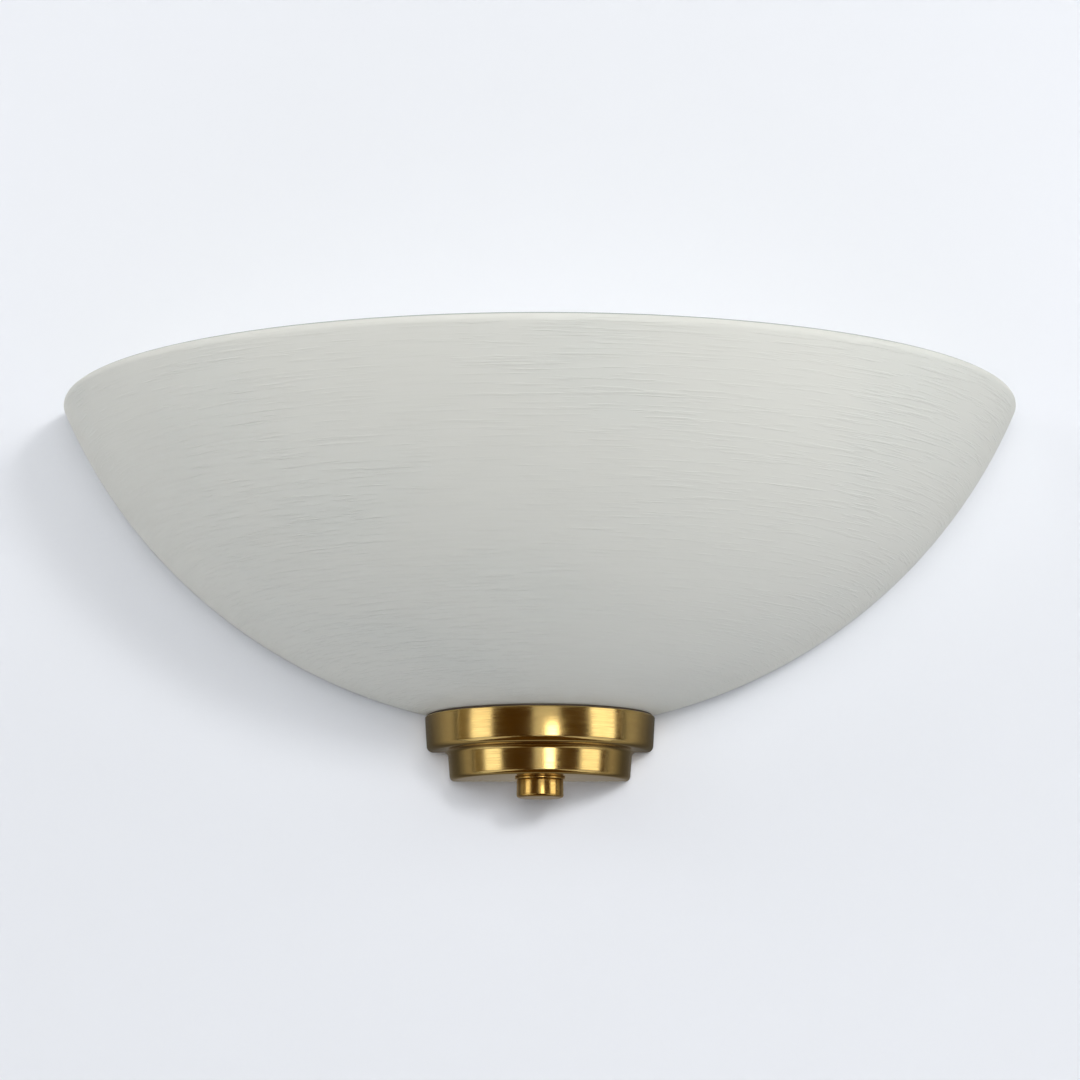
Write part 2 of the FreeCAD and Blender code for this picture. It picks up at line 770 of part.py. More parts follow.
def wall_strap():
    """Bent fixing bar: a web on the wall with two slots, and two raised ears with tapped holes."""
    ear = "strap_ear_y"
    leg = "strap_leg_at"
    wall = "strap_wall"
    body = new_body("wall_strap")
    section = new_sketch(body, "XY_Plane", "strap_section", "0 - strap_width / 2")
    draw_outline(section, [
        (f"0 - {leg}", "0"),
        (f"0 - {leg}", ear),
        ("0 - strap_half_length", ear),
        ("0 - strap_half_length", f"{ear} - {wall}"),
        (f"0 - {leg} + {wall}", f"{ear} - {wall}"),
        (f"0 - {leg} + {wall}", f"0 - {wall}"),
        (f"{leg} - {wall}", f"0 - {wall}"),
        (f"{leg} - {wall}", f"{ear} - {wall}"),
        ("strap_half_length", f"{ear} - {wall}"),
        ("strap_half_length", ear),
        (leg, ear),
        (leg, "0"),
    ])
    bar = pad(body, section, "strap_bar", "strap_width")
    leg_x = amount(leg)
    leg_inner_x = leg_x - amount(wall)
    wall_y = 0
    ear_front_y = amount(f"{ear} - {wall}")

    def outside_bend(edge):
        spot = edge.CenterOfMass
        at_wall = abs(abs(spot.x) - leg_x) < NEAR and abs(spot.y - wall_y) < NEAR
        at_ear = abs(abs(spot.x) - leg_inner_x) < NEAR and abs(spot.y - ear_front_y) < NEAR
        return along_z(edge) and (at_wall or at_ear)

    def inside_bend(edge):
        spot = edge.CenterOfMass
        at_wall = abs(abs(spot.x) - leg_inner_x) < NEAR and abs(spot.y + amount(wall)) < NEAR
        at_ear = abs(abs(spot.x) - leg_x) < NEAR and abs(spot.y - amount(ear)) < NEAR
        return along_z(edge) and (at_wall or at_ear)

    outer = fillet(body, "strap_outer_bends", bar, outside_bend, "strap_bend + strap_wall")
    fillet(body, "strap_inner_bends", outer, inside_bend, "strap_bend")
    holes = new_sketch(body, "XZ_Plane", "strap_holes")
    for side in ("0 - slot_half_spacing", "slot_half_spacing"):
        draw_outline(holes, slot_outline(side, "0", "slot_half_length", "slot_radius"))
    for side in ("0 - pan_screw_at", "pan_screw_at"):
        draw_circle(holes, side, "0", "pan_screw_radius")
    draw_circle(holes, "0", "0", "cable_hole_radius")
    pocket_through(body, holes, "strap_hole_pocket")
    return sub_part(body, "wall_strap")


def along_z(edge):
    """Whether an edge is straight and runs along Z."""
    box = edge.BoundBox
    return box.XLength < NEAR and box.YLength < NEAR and box.ZLength > 1


def facing_out(thing, x, y, z):
    """Turns a piece drawn along +Z so that it points out of the wall, along -Y."""
    return place(thing, x, y, z, Vector(1, 0, 0), "90")


def pan_screws():
    screws = []
    for number, side in enumerate(("0 - pan_screw_at", "pan_screw_at"), start=1):
        screw = headed_screw(f"pan_screw_{number}", "pan_screw_radius", "pan_screw_length",
                             "pan_screw_head_radius", "pan_screw_head_height")
        screws.append(facing_out(screw, side, "0 - pan_depth", "0"))
    return group("pan_screws", screws)


# ---------------------------------------------------------------- lamp bracket and lampholder

def lamp_bracket():
    """L bracket on the tilted lamp axis: a lug for the nipple and a leg flat on the pan."""
    body = new_body("lamp_bracket")
    lug = new_sketch(body, "XY_Plane", "bracket_lug", "0 - bracket_wall")
    half = "bracket_half_width"
    draw_outline(lug, [
        (half, "lug_to_pan"),
        (f"0 - {half}", "lug_to_pan"),
        (f"0 - {half}", "0", half, 1),
        ("0", f"0 - {half}", half, 1),
        (half, "0"),
    ])
    plate = pad(body, lug, "bracket_plate", "bracket_wall")
    leg = new_sketch(body, "XZ_Plane", "bracket_leg", "0 - lug_to_pan")
    draw_outline(leg, [
        (f"0 - {half}", "0 - bracket_wall"),
        (half, "0 - bracket_wall"),
        (half, "bracket_leg_height"),
        (f"0 - {half}", "bracket_leg_height"),
    ])
    bent = pad(body, leg, "bracket_leg_plate", "bracket_wall")
    pan_y = amount("lug_to_pan")
    wall = amount("bracket_wall")
    outer = fillet(body, "bracket_outer_bend", bent, lambda edge: along_x(edge)
                   and abs(edge.CenterOfMass.y - pan_y) < NEAR
                   and abs(edge.CenterOfMass.z + wall) < NEAR, "2 * bracket_wall")
    inner = fillet(body, "bracket_inner_bend", outer, lambda edge: along_x(edge)
                   and abs(edge.CenterOfMass.y - pan_y + wall) < NEAR
                   and abs(edge.CenterOfMass.z) < NEAR, "bracket_wall")
    top = amount("bracket_leg_height")
    fillet(body, "bracket_leg_corners", inner, lambda edge: along_y(edge)
           and abs(edge.CenterOfMass.z - top) < NEAR, "bracket_half_width / 2")
    round_hole(body, "bracket_nipple_hole", "0", "0", "nipple_radius + hole_clearance / 2")
    rivet_holes = new_sketch(body, "XZ_Plane", "bracket_rivet_holes")
    for reach in ("rivet_low", "rivet_low + rivet_pitch"):
        draw_circle(rivet_holes, "0", reach, "rivet_radius")
    pocket_through(body, rivet_holes, "bracket_rivet_hole_pocket")
    return sub_part(on_lamp_axis(body), "lamp_bracket")


def along_x(edge):
    """Whether an edge is straight and runs along X."""
    box = edge.BoundBox
    return box.YLength < NEAR and box.ZLength < NEAR and box.XLength > 1


def bracket_rivets():
    rivets = []
    crown = "(rivet_head_radius^2 + rivet_head_height^2) / (2 * rivet_head_height)"
    foot = "0 - bracket_wall - pan_wall"
    foot_radius = f"rivet_head_radius * {RIVET_FOOT_SHARE}"
    for number, (x, z) in enumerate(bracket_rivet_spots(), start=1):
        rivet = turned_body(f"bracket_rivet_{number}", [
            ("0", f"{foot} - rivet_head_height / 2"),
            (foot_radius, f"{foot} - rivet_head_height / 2"),
            (foot_radius, foot),
            ("rivet_radius", foot),
            ("rivet_radius", "0"),
            ("rivet_head_radius", "0", crown, 1),
            ("0", "rivet_head_height"),
        ])
        rivets.append(facing_out(rivet, x, "0 - pan_depth - bracket_wall", z))
    return group("bracket_rivets", rivets)


def holder_nipple():
    body = ring("holder_nipple", "nipple_radius", "nipple_bore_radius", "0 - nipple_below", "nipple_above")
    return sub_part(on_lamp_axis(body), "holder_nipple")


def holder_ring_nut():
    nut = hex_nut("holder_ring_nut", "ring_nut_across_flats", "ring_nut_height", "nipple_radius")
    reach = "(bracket_wall + ring_nut_height)"
    place(nut, f"0 - lamp_left - {reach} * lamp_sine", "0 - lamp_out",
          f"lamp_z - {reach} * lamp_cosine", Vector(0, 1, 0), "lamp_tilt")
    return sub_part(nut, "holder_ring_nut")


def holder_base():
    """Cap of the lampholder: a threaded boss that flares into a shouldered dome."""
    wall = "holder_wall"
    body = turned_body("holder_base", [
        ("nipple_radius", "0"),
        ("boss_radius", "0"),
        ("boss_radius", "boss_height"),
        ("holder_radius - holder_wall", "boss_height + holder_wall"),
        ("holder_radius", "boss_height + 2 * holder_wall"),
        ("holder_radius", "holder_shoulder"),
        (f"holder_radius - {wall}", "holder_shoulder"),
        (f"holder_radius - {wall}", f"boss_height + {DOME_UNDERSIDE_SHARE} * holder_wall"),
        (f"holder_radius - 2 * {wall}", "nipple_above"),
        ("nipple_radius", "nipple_above"),
    ])
    return sub_part(on_lamp_axis(body), "holder_base")


def holder_body():
    """Skirt of the lampholder, tapering to its mouth, with a raised grip ring at its foot."""
    wall = "holder_wall"
    grip = "holder_radius + grip_ring_proud"
    body = turned_body("holder_body", [
        (f"holder_radius - {wall}", "holder_shoulder"),
        (grip, "holder_shoulder"),
        (grip, "holder_shoulder + grip_ring_height"),
        ("holder_radius", "holder_shoulder + grip_ring_height + grip_ring_proud"),
        ("holder_mouth_radius", "holder_height - grip_ring_proud"),
        ("holder_mouth_radius - grip_ring_proud", "holder_height"),
        (f"holder_mouth_radius - {wall}", "holder_height"),
    ])
    return sub_part(on_lamp_axis(body), "holder_body")


def holder_insert():
    """Insulating disc with a raised rim round the screw shell and two terminal holes."""
    shell = "shell_inner_radius + shell_wall"
    body = turned_body("holder_insert", [
        ("0", "insert_z"),
        ("insert_radius", "insert_z"),
        ("insert_radius", "contact_level"),
        (f"{shell} + shell_wall / 2", "contact_level"),
        (f"{shell} + shell_wall / 2", "contact_level + insert_rim_height"),
        (shell, "contact_level + insert_rim_height"),
        (shell, "insert_z + insert_height"),
        ("0", "insert_z + insert_height"),
    ])
    holes = new_sketch(body, "XY_Plane", "insert_holes")
    for side in ("0 - holder_screw_out", "holder_screw_out"):
        draw_circle(holes, side, "0", "holder_screw_radius")
    pocket_through(body, holes, "insert_hole_pocket")
    return sub_part(on_lamp_axis(body), "holder_insert")


def holder_terminal_screws():
    screws = []
    for number, side in enumerate((-1, 1), start=1):
        screw = headed_screw(f"holder_terminal_screw_{number}", "holder_screw_radius", "insert_height",
                             f"holder_screw_radius * {HOLDER_SCREW_HEAD_SHARE}", "holder_screw_radius")
        reach = f"({side}) * holder_screw_out"
        place(screw, f"0 - lamp_left + {reach} * lamp_cosine + contact_level * lamp_sine", "0 - lamp_out",
              f"lamp_z - {reach} * lamp_sine + contact_level * lamp_cosine",
              Vector(0, 1, 0), "lamp_tilt")
        screws.append(screw)
    return group("holder_terminal_screws", screws)


def holder_screw_shell():
    """Thin threaded shell that the lamp's cap screws into."""
    shell = "shell_inner_radius + shell_wall"
    low = "insert_z + insert_height"
    body = ring("holder_screw_shell", shell, "shell_inner_radius", low, "holder_height - 4 * shell_wall")
    return sub_part(on_lamp_axis(body), "holder_screw_shell")


def holder_centre_contact():
    low = "insert_z + insert_height"
    body = ring("holder_centre_contact", "contact_radius", "contact_radius / 4", low, "contact_level")
    return sub_part(on_lamp_axis(body), "holder_centre_contact")


# ---------------------------------------------------------------- lamp

def lamp_tip():
    body = turned_body("lamp_tip", [
        ("0", "lamp_foot_z"),
        ("cap_tip_radius - cap_tip_height / 2", "lamp_foot_z"),
        ("cap_tip_radius", "lamp_foot_z + cap_tip_height"),
        ("0", "lamp_foot_z + cap_tip_height"),
    ])
    return sub_part(on_lamp_axis(body), "lamp_tip")


def lamp_insulator():
    low = "lamp_foot_z + cap_tip_height"
    body = turned_body("lamp_insulator", [
        ("0", low),
        ("cap_tip_radius", low),
        ("cap_radius - cap_wall", "cap_shell_z"),
        ("0", "cap_shell_z"),
    ])
    return sub_part(on_lamp_axis(body), "lamp_insulator")


def lamp_cap():
    body = turned_body("lamp_cap", [
        ("0", "cap_shell_z"),
        ("cap_radius - cap_wall", "cap_shell_z"),
        ("cap_radius", "cap_shell_z + cap_wall"),
        ("cap_radius", "cap_top_z"),
        ("cap_radius - cap_wall", "cap_top_z"),
        ("cap_radius - cap_wall", "cap_shell_z + cap_wall"),
        ("0", "cap_shell_z + cap_wall"),
    ])
    return sub_part(on_lamp_axis(body), "lamp_cap")


def lamp_housing():
    """Plastic housing that flares from the cap to the globe in one soft curve."""
    flare = "housing_flare_radius"
    body = turned_body("lamp_housing", [
        ("0", "cap_top_z"),
        ("housing_foot_radius", "cap_top_z", flare, -1),
        ("housing_top_radius", "housing_top_z"),
        ("housing_top_radius - housing_wall", "housing_top_z"),
        ("housing_foot_radius - housing_wall", "cap_top_z + housing_wall"),
        ("0", "cap_top_z + housing_wall"),
    ])
    return sub_part(on_lamp_axis(body), "lamp_housing")


def lamp_globe():
    """Opal globe, a hollow sphere cut off where the housing meets it."""
    top = "globe_centre_z + globe_radius"
    inner = "(globe_radius - globe_wall)"
    drop = "(globe_centre_z - housing_top_z)"
    body = turned_body("lamp_globe", [
        (f"sqrt({inner}^2 - {drop}^2)", "housing_top_z"),
        ("housing_top_radius", "housing_top_z", "globe_radius", 1),
        ("globe_radius", "globe_centre_z", "globe_radius", 1),
        ("0", top),
        ("0", f"{top} - globe_wall", inner, -1),
        (inner, "globe_centre_z", inner, -1),
    ])
    return sub_part(on_lamp_axis(body), "lamp_globe")


# ---------------------------------------------------------------- wiring

def lead_grommet():
    """Rubber grommet in the pan's front: two flanges and a groove for the sheet."""
    low = "0 - grommet_flange - pan_wall"
    body = turned_body("lead_grommet", [
        ("grommet_bore_radius", low),
        ("grommet_radius", low),
        ("grommet_radius", "0 - pan_wall"),
        ("grommet_groove_radius", "0 - pan_wall"),
        ("grommet_groove_radius", "0"),
        ("grommet_radius", "0"),
        ("grommet_radius - grommet_flange / 2", "grommet_flange"),
        ("grommet_bore_radius", "grommet_flange"),
    ])
    facing_out(body, "grommet_x", "0 - pan_depth", "grommet_z")
    return sub_part(body, "lead_grommet")


def block_way(index):
    """Height of one of the terminal block's three ways, as an expression."""
    return f"block_z + ({index - 1}) * block_way_pitch"


def terminal_block():
    """Three-way block: one lobe for each way, each bored for its tube and its two screws."""
    body = new_body("terminal_block")
    left = "block_left_side"
    right = "block_left_side + block_width"
    outline = new_sketch(body, "XZ_Plane", "block_outline", "0 - pan_inside_y")
    draw_outline(outline, [
        (left, "block_z - block_length / 2"),
        (right, "block_z - block_length / 2"),
        (right, "block_z + block_length / 2"),
        (left, "block_z + block_length / 2"),
    ])
    pad(body, outline, "block_base", "block_depth", reverse=True)
    valleys = new_sketch(body, "YZ_Plane", "block_valleys")
    floor = "block_back_y - block_depth / 3"
    for index in (0, 1):
        middle = f"{block_way(index)} + block_way_pitch / 2"
        draw_outline(valleys, [
            (floor, f"{middle} - block_valley_half"),
            ("block_back_y + block_valley_half", f"{middle} - block_valley_half"),
            ("block_back_y + block_valley_half", f"{middle} + block_valley_half"),
            (floor, f"{middle} + block_valley_half"),
        ])
    pocket_through(body, valleys, "block_valley_pocket")
    tube_bores = new_sketch(body, "YZ_Plane", "block_tube_bores")
    for index in range(3):
        draw_circle(tube_bores, "block_way_y", block_way(index), "block_tube_radius")
    pocket_through(body, tube_bores, "block_tube_bore_pocket")
    screw_bores = new_sketch(body, "XZ_Plane", "block_screw_bores", "0 - block_way_y")
    for index in range(3):
        for side in BLOCK_SCREW_SHARES:
            draw_circle(screw_bores, f"{left} + {side} * block_width", block_way(index), "block_screw_radius")
    wells = body.newObject("PartDesign::Pocket", "block_screw_wells")
    wells.Profile = screw_bores
    wells.setExpression("Length", bound("block_depth"))
    document.recompute()
    round_hole(body, "block_fixing_hole", f"{left} + block_width / 2", "block_z + block_way_pitch / 2",
               "block_screw_radius", "XZ_Plane")
    return sub_part(body, "terminal_block")


def along_block(thing, index):
    """Turns a piece drawn along +Z to run along X through one way of the block."""
    return place(thing, "block_left_side", "block_way_y", block_way(index), Vector(0, 1, 0), "90")


def terminal_tubes():
    tubes = []
    for index in range(3):
        tube = ring(f"terminal_tube_{index + 1}", "block_tube_radius", "block_tube_bore",
                    "block_tube_inset", "block_width - block_tube_inset")
        along_block(tube, index)
        tubes.append(tube)
    return group("terminal_tubes", tubes)


def terminal_screws():
    """Two slotless clamp screws a way, seen from the open back of the pan."""
    screws = []
    radius = f"block_screw_radius * {LOOSE_SHARE}"
    height = "block_depth / 4"
    for index in range(3):
        for side in BLOCK_SCREW_SHARES:
            screw = turned_body(f"terminal_screw_{len(screws) + 1}", [
                ("0", "0"),
                (radius, "0"),
                (radius, f"{height} - block_screw_radius / 3"),
                ("block_screw_radius / 2", height),
                ("0", height),
            ])
            place(screw, f"block_left_side + {side} * block_width", "block_way_y + block_tube_radius",
                  block_way(index), Vector(1, 0, 0), "0 - 90")
            screws.append(screw)
    return group("terminal_screws", screws)


def block_fixing_screw():
    """Screw through the block's first valley into the pan."""
    length = "block_depth * 2 / 3 + pan_wall"
    head_radius = f"block_valley_half * {LOOSE_SHARE}"
    screw = headed_screw("block_fixing_screw", "block_screw_radius", length, head_radius, "block_screw_radius")
    place(screw, "block_left_side + block_width / 2", "block_back_y - block_depth / 3",
          "block_z + block_way_pitch / 2", Vector(1, 0, 0), "0 - 90")
    return sub_part(screw, "block_fixing_screw")


def earth_tag():
    """Ring tag under the earth screw, with a barrel that grips the lead."""
    body = new_body("earth_tag")
    flat = new_sketch(body, "XZ_Plane", "tag_flat", "0 - pan_inside_y - earth_tag_height")
    draw_circle(flat, "earth_screw_right", "earth_z", "earth_tag_radius")
    draw_circle(flat, "earth_screw_right", "earth_z", "earth_screw_radius + hole_clearance")
    pad(body, flat, "tag_ring", "earth_tag_height")
    barrel_start = "earth_screw_right - earth_tag_radius - tag_barrel_length"
    barrel = new_sketch(body, "YZ_Plane", "tag_barrel", barrel_start)
    draw_circle(barrel, "pan_inside_y + 2 * lead_radius", "earth_z", "2 * lead_radius")
    draw_circle(barrel, "pan_inside_y + 2 * lead_radius", "earth_z", "lead_radius")
    pad(body, barrel, "tag_barrel_pad", "tag_barrel_length + tag_barrel_lap")
    return sub_part(body, "earth_tag")


def earth_screw():
    screw = headed_screw("earth_screw", "earth_screw_radius", "earth_screw_length",
                         "earth_screw_head_radius", "earth_screw_radius")
    place(screw, "earth_screw_right", "pan_inside_y + earth_tag_height", "earth_z",
          Vector(1, 0, 0), "0 - 90")
    return sub_part(screw, "earth_screw")


def lamp_point(across, out, up):
    """A point on the tilted lamp axis's own frame, in the part's frame."""
    tilt = Rotation(Vector(0, 1, 0), amount("lamp_tilt"))
    return point("0 - lamp_left", "0 - lamp_out", "lamp_z") + tilt.multVec(Vector(across, out, up))


def lamp_lead(name, index, side):
    """A lead from one way of the block, through the grommet and up the nipple into the lampholder.

    Beyond the grommet the two leads keep to one plane each, side by side."""
    beside = side * amount("lead_beside")
    below = -amount("grommet_below")
    to_pan = amount("lug_to_pan")
    way = point("block_left_side + lead_entry", "block_way_y", block_way(index))
    behind = lamp_point(beside, to_pan + amount("pan_depth") / 3, below)
    return lead_along(name, [
        way,
        Vector(way.x - amount("block_width"), way.y, way.z),
        Vector((way.x + 2 * behind.x) / 3, behind.y, behind.z + (way.z - behind.z) / 4),
        behind,
        lamp_point(beside, 0, below),
        lamp_point(beside, 0, amount("insert_z")),
    ], amount("lead_radius"))


def earth_lead():
    """Short lead from the block's middle way to the ring tag's barrel."""
    way = point("block_left_side + block_width - lead_entry", "block_way_y", block_way(1))
    barrel_start = "earth_screw_right - earth_tag_radius - tag_barrel_length"
    tag_y = "pan_inside_y + 2 * lead_radius"
    tag = point(barrel_start, tag_y, "earth_z")
    end = point("earth_screw_right - earth_tag_radius", tag_y, "earth_z")
    run = Vector((tag.x - way.x) / 3, 0, 0)
    return lead_along("lead_earth", [way, way + run, tag - run, end], amount("lead_radius"))


# ---------------------------------------------------------------- build, check, write

glass_bowl()
gallery_cup()
cup_edge_seal()
finial_collar()
finial_knob()
shade_stud()
stud_nuts()
stud_lock_washer()
glass_plate_washer()
glass_cushion()
back_pan()
wall_strap()
pan_screws()
lamp_bracket()
bracket_rivets()
holder_nipple()
holder_ring_nut()
holder_base()
holder_body()
holder_insert()
holder_terminal_screws()
holder_screw_shell()
holder_centre_contact()
lamp_tip()
lamp_insulator()
lamp_cap()
lamp_housing()
lamp_globe()
lead_grommet()
terminal_block()
terminal_tubes()
terminal_screws()
block_fixing_screw()
earth_tag()
earth_screw()
lamp_lead("lead_live", 2, -1)
lamp_lead("lead_neutral", 0, 1)
earth_lead()
document.recompute()

for thing in document.Objects:
    failed = {"Invalid", "Error"} & set(thing.State)
    if failed:
        raise RuntimeError(f"{thing.Label} failed: {thing.State}")
for thing in SUB_PARTS:
    if thing.Shape.isNull() or not thing.Shape.isValid():
        raise RuntimeError(f"{thing.Label} has no valid shape")

os.makedirs("parts", exist_ok=True)
for thing in SUB_PARTS:
    thing.Shape.exportStep(f"parts/{thing.Label}.step")
    print(f"{thing.Label}: {len(thing.Shape.Solids)} solids, {thing.Shape.Volume:.1f} mm3")
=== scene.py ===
"""Uplighter wall sconce: a half-bowl glass shade on a stepped brass cup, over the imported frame.

X is right, +Y goes into the wall and +Z is up. Sizes of the object's pieces are in millimetres and
are turned into metres where a mesh is made. Lamps, screens, camera and bump depths are in metres.
"""
import json
import math

import bpy
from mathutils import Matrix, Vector


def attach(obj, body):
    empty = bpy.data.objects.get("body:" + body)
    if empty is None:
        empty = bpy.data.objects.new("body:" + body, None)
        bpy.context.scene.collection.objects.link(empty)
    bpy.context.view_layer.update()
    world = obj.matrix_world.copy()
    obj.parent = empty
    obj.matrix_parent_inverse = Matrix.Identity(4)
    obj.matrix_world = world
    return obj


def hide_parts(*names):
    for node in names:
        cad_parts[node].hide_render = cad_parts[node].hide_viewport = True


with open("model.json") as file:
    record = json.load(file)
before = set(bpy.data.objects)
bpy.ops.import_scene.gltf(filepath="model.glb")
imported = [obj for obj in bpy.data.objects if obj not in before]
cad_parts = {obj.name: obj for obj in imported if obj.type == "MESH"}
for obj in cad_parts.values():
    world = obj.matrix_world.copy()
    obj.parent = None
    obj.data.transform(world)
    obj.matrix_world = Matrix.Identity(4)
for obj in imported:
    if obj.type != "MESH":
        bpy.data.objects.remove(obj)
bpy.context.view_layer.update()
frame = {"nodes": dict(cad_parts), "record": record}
slots = {part["node"]: part["material_slot"] for part in frame["record"]["subparts"]}

MM = 0.001
NEAR = 0.00002  # metres within which two places count as one

# ---------------------------------------------------------------- modelling helpers


def add(name, primitive, **values):
    """Adds a primitive with nothing else selected, names it and returns it."""
    bpy.ops.object.select_all(action="DESELECT")
    primitive(**values)
    piece = bpy.context.object
    piece.name = name
    piece.data.name = name
    return piece


def select_only(*pieces):
    """Selects these pieces alone and makes the first of them active."""
    bpy.ops.object.select_all(action="DESELECT")
    for piece in pieces:
        piece.select_set(True)
    bpy.context.view_layer.objects.active = pieces[0]


def settle():
    """Applies the selected piece's placement, so that its object sits at the frame's origin."""
    bpy.ops.object.transform_apply(location=True, rotation=True, scale=True)


def pick(piece, kind, test):
    """Opens the piece in edit mode with only those elements selected that pass the test.

    The test is given a vertex's place, or the middle of an edge."""
    mesh = piece.data
    bpy.ops.object.mode_set(mode="EDIT")
    bpy.ops.mesh.select_mode(type=kind)
    bpy.ops.mesh.select_all(action="DESELECT")
    bpy.ops.object.mode_set(mode="OBJECT")
    if kind == "VERT":
        for vertex in mesh.vertices:
            vertex.select = test(vertex.co)
    else:
        for edge in mesh.edges:
            first, last = (mesh.vertices[index].co for index in edge.vertices)
            edge.select = test((first + last) / 2)
    bpy.ops.object.mode_set(mode="EDIT")


def finish_mesh(piece, angle=35):
    """Merges doubles, turns the faces outwards and shades the piece smooth up to the angle."""
    bpy.ops.object.mode_set(mode="EDIT")
    bpy.ops.mesh.select_mode(type="VERT")
    bpy.ops.mesh.select_all(action="SELECT")
    bpy.ops.mesh.remove_doubles(threshold=NEAR / 4)
    bpy.ops.mesh.normals_make_consistent(inside=False)
    bpy.ops.object.mode_set(mode="OBJECT")
    bpy.ops.object.shade_smooth_by_angle(angle=math.radians(angle))
    return piece


def modify(piece, kind, **values):
    """Adds a modifier with these values and applies it."""
    bpy.context.view_layer.objects.active = piece
    modifier = piece.modifiers.new(kind.lower(), kind)
    for key, value in values.items():
        setattr(modifier, key, value)
    bpy.ops.object.modifier_apply(modifier=modifier.name)


def arc(centre, radius, start, end, count):
    """Points of an arc from one angle to another, in degrees, both ends included."""
    turns = [math.radians(start + (end - start) * step / count) for step in range(count + 1)]
    return [(centre[0] + radius * math.cos(turn), centre[1] + radius * math.sin(turn))
            for turn in turns]


def close_pole(rise):
    """Closes the selected ring with one flat face, or with a fan to a pole this far above it."""
    if abs(rise) < NEAR:
        bpy.ops.mesh.edge_face_add()
    else:
        bpy.ops.mesh.extrude_region_move(TRANSFORM_OT_translate={"value": (0, 0, rise)})
        bpy.ops.mesh.merge(type="CENTER")


def turned(name, profile, steps=96, centre=(0, 0)):
    """Turns (radius, height) points about an upright axis by extruding and sizing its rings.

    A profile that starts or ends on the axis is closed there; one that ends where it starts is a
    closed ring."""
    middle = (centre[0] * MM, centre[1] * MM)
    start_pole = profile[0][0] == 0
    end_pole = profile[-1][0] == 0
    rings = profile[start_pole:len(profile) - end_pole]
    radius, height = rings[0]
    piece = add(name, bpy.ops.mesh.primitive_circle_add, vertices=steps, radius=radius * MM,
                location=(middle[0], middle[1], height * MM), enter_editmode=True)
    for next_radius, next_height in rings[1:]:
        bpy.ops.mesh.extrude_region_move(
            TRANSFORM_OT_translate={"value": (0, 0, (next_height - height) * MM)})
        share = next_radius / radius
        bpy.ops.transform.resize(value=(share, share, 1),
                                 center_override=(*middle, next_height * MM))
        radius, height = next_radius, next_height
    if end_pole:
        close_pole((profile[-1][1] - height) * MM)
    bpy.ops.object.mode_set(mode="OBJECT")
    settle()
    if start_pole:
        first_radius, first_height = rings[0]

        def on_first_ring(place):
            reach = math.hypot(place.x - middle[0], place.y - middle[1])
            level_fits = abs(place.z - first_height * MM) < NEAR
            return level_fits and abs(reach - first_radius * MM) < NEAR

        pick(piece, "VERT", on_first_ring)
        close_pole((profile[0][1] - first_height) * MM)
        bpy.ops.object.mode_set(mode="OBJECT")
    return finish_mesh(piece)


def join(pieces, name):
    """Joins pieces into the first one."""
    select_only(*pieces)
    bpy.ops.object.join()
    pieces[0].name = name
    pieces[0].data.name = name
    return pieces[0]


def thread(crest, depth, pitch, low, high, steps, centre=(0, 0), corners=3):
    """A closed ridge that climbs round an upright axis, its outermost edge at the crest radius.

    Its section is a sharp triangle, or with more corners a round rope."""
    reach = depth if corners == 3 else depth / 2
    section = ((crest - reach) * MM, 0, low * MM)
    ridge = add("ridge", bpy.ops.mesh.primitive_circle_add, vertices=corners, radius=reach * MM,
                location=section, rotation=(math.pi / 2, 0, 0), enter_editmode=True)
    if corners == 3:
        bpy.ops.transform.rotate(value=math.pi / 2, orient_axis="Y", center_override=section)
    bpy.ops.object.mode_set(mode="OBJECT")
    settle()
    modify(ridge, "SCREW", axis="Z", angle=2 * math.pi, screw_offset=pitch * MM, steps=steps,
           render_steps=steps, iterations=int((high - low) / pitch), use_merge_vertices=False)
    bpy.ops.object.mode_set(mode="EDIT")
    bpy.ops.mesh.select_mode(type="EDGE")
    bpy.ops.mesh.select_all(action="DESELECT")
    bpy.ops.mesh.select_non_manifold()
    bpy.ops.mesh.fill_holes(sides=corners)
    bpy.ops.object.mode_set(mode="OBJECT")
    ridge.location = (centre[0] * MM, centre[1] * MM, 0)
    settle()
    return finish_mesh(ridge, 50)


def ring_of(piece, count):
    """Repeats a piece round the upright axis at the origin."""
    bpy.context.view_layer.objects.active = piece
    bpy.ops.object.mode_set(mode="EDIT")
    bpy.ops.mesh.select_all(action="SELECT")
    bpy.ops.mesh.spin(steps=count - 1, angle=2 * math.pi * (count - 1) / count, dupli=True,
                      center=(0, 0, 0), axis=(0, 0, 1))
    bpy.ops.object.mode_set(mode="OBJECT")
    return piece


def cut_at_wall(piece, gap):
    """Cuts off what lies nearer the wall than the gap and closes the cut with flat faces."""
    bpy.context.view_layer.objects.active = piece
    bpy.ops.object.mode_set(mode="EDIT")
    bpy.ops.mesh.select_all(action="SELECT")
    bpy.ops.mesh.bisect(plane_co=(0, -gap * MM, 0), plane_no=(0, 1, 0), use_fill=True,
                        clear_outer=True)
    bpy.ops.object.mode_set(mode="OBJECT")
    finish_mesh(piece)


def bore(piece, radius, low, high, centre, steps=64):
    """Cuts a round upright hole through the piece."""
    drill = add("drill", bpy.ops.mesh.primitive_cylinder_add, vertices=steps, radius=radius * MM,
                depth=(high - low) * MM,
                location=(centre[0] * MM, centre[1] * MM, (low + high) / 2 * MM))
    modify(piece, "BOOLEAN", operation="DIFFERENCE", solver="EXACT", object=drill)
    bpy.data.objects.remove(drill)
    select_only(piece)
    finish_mesh(piece)


# ---------------------------------------------------------------- shader groups


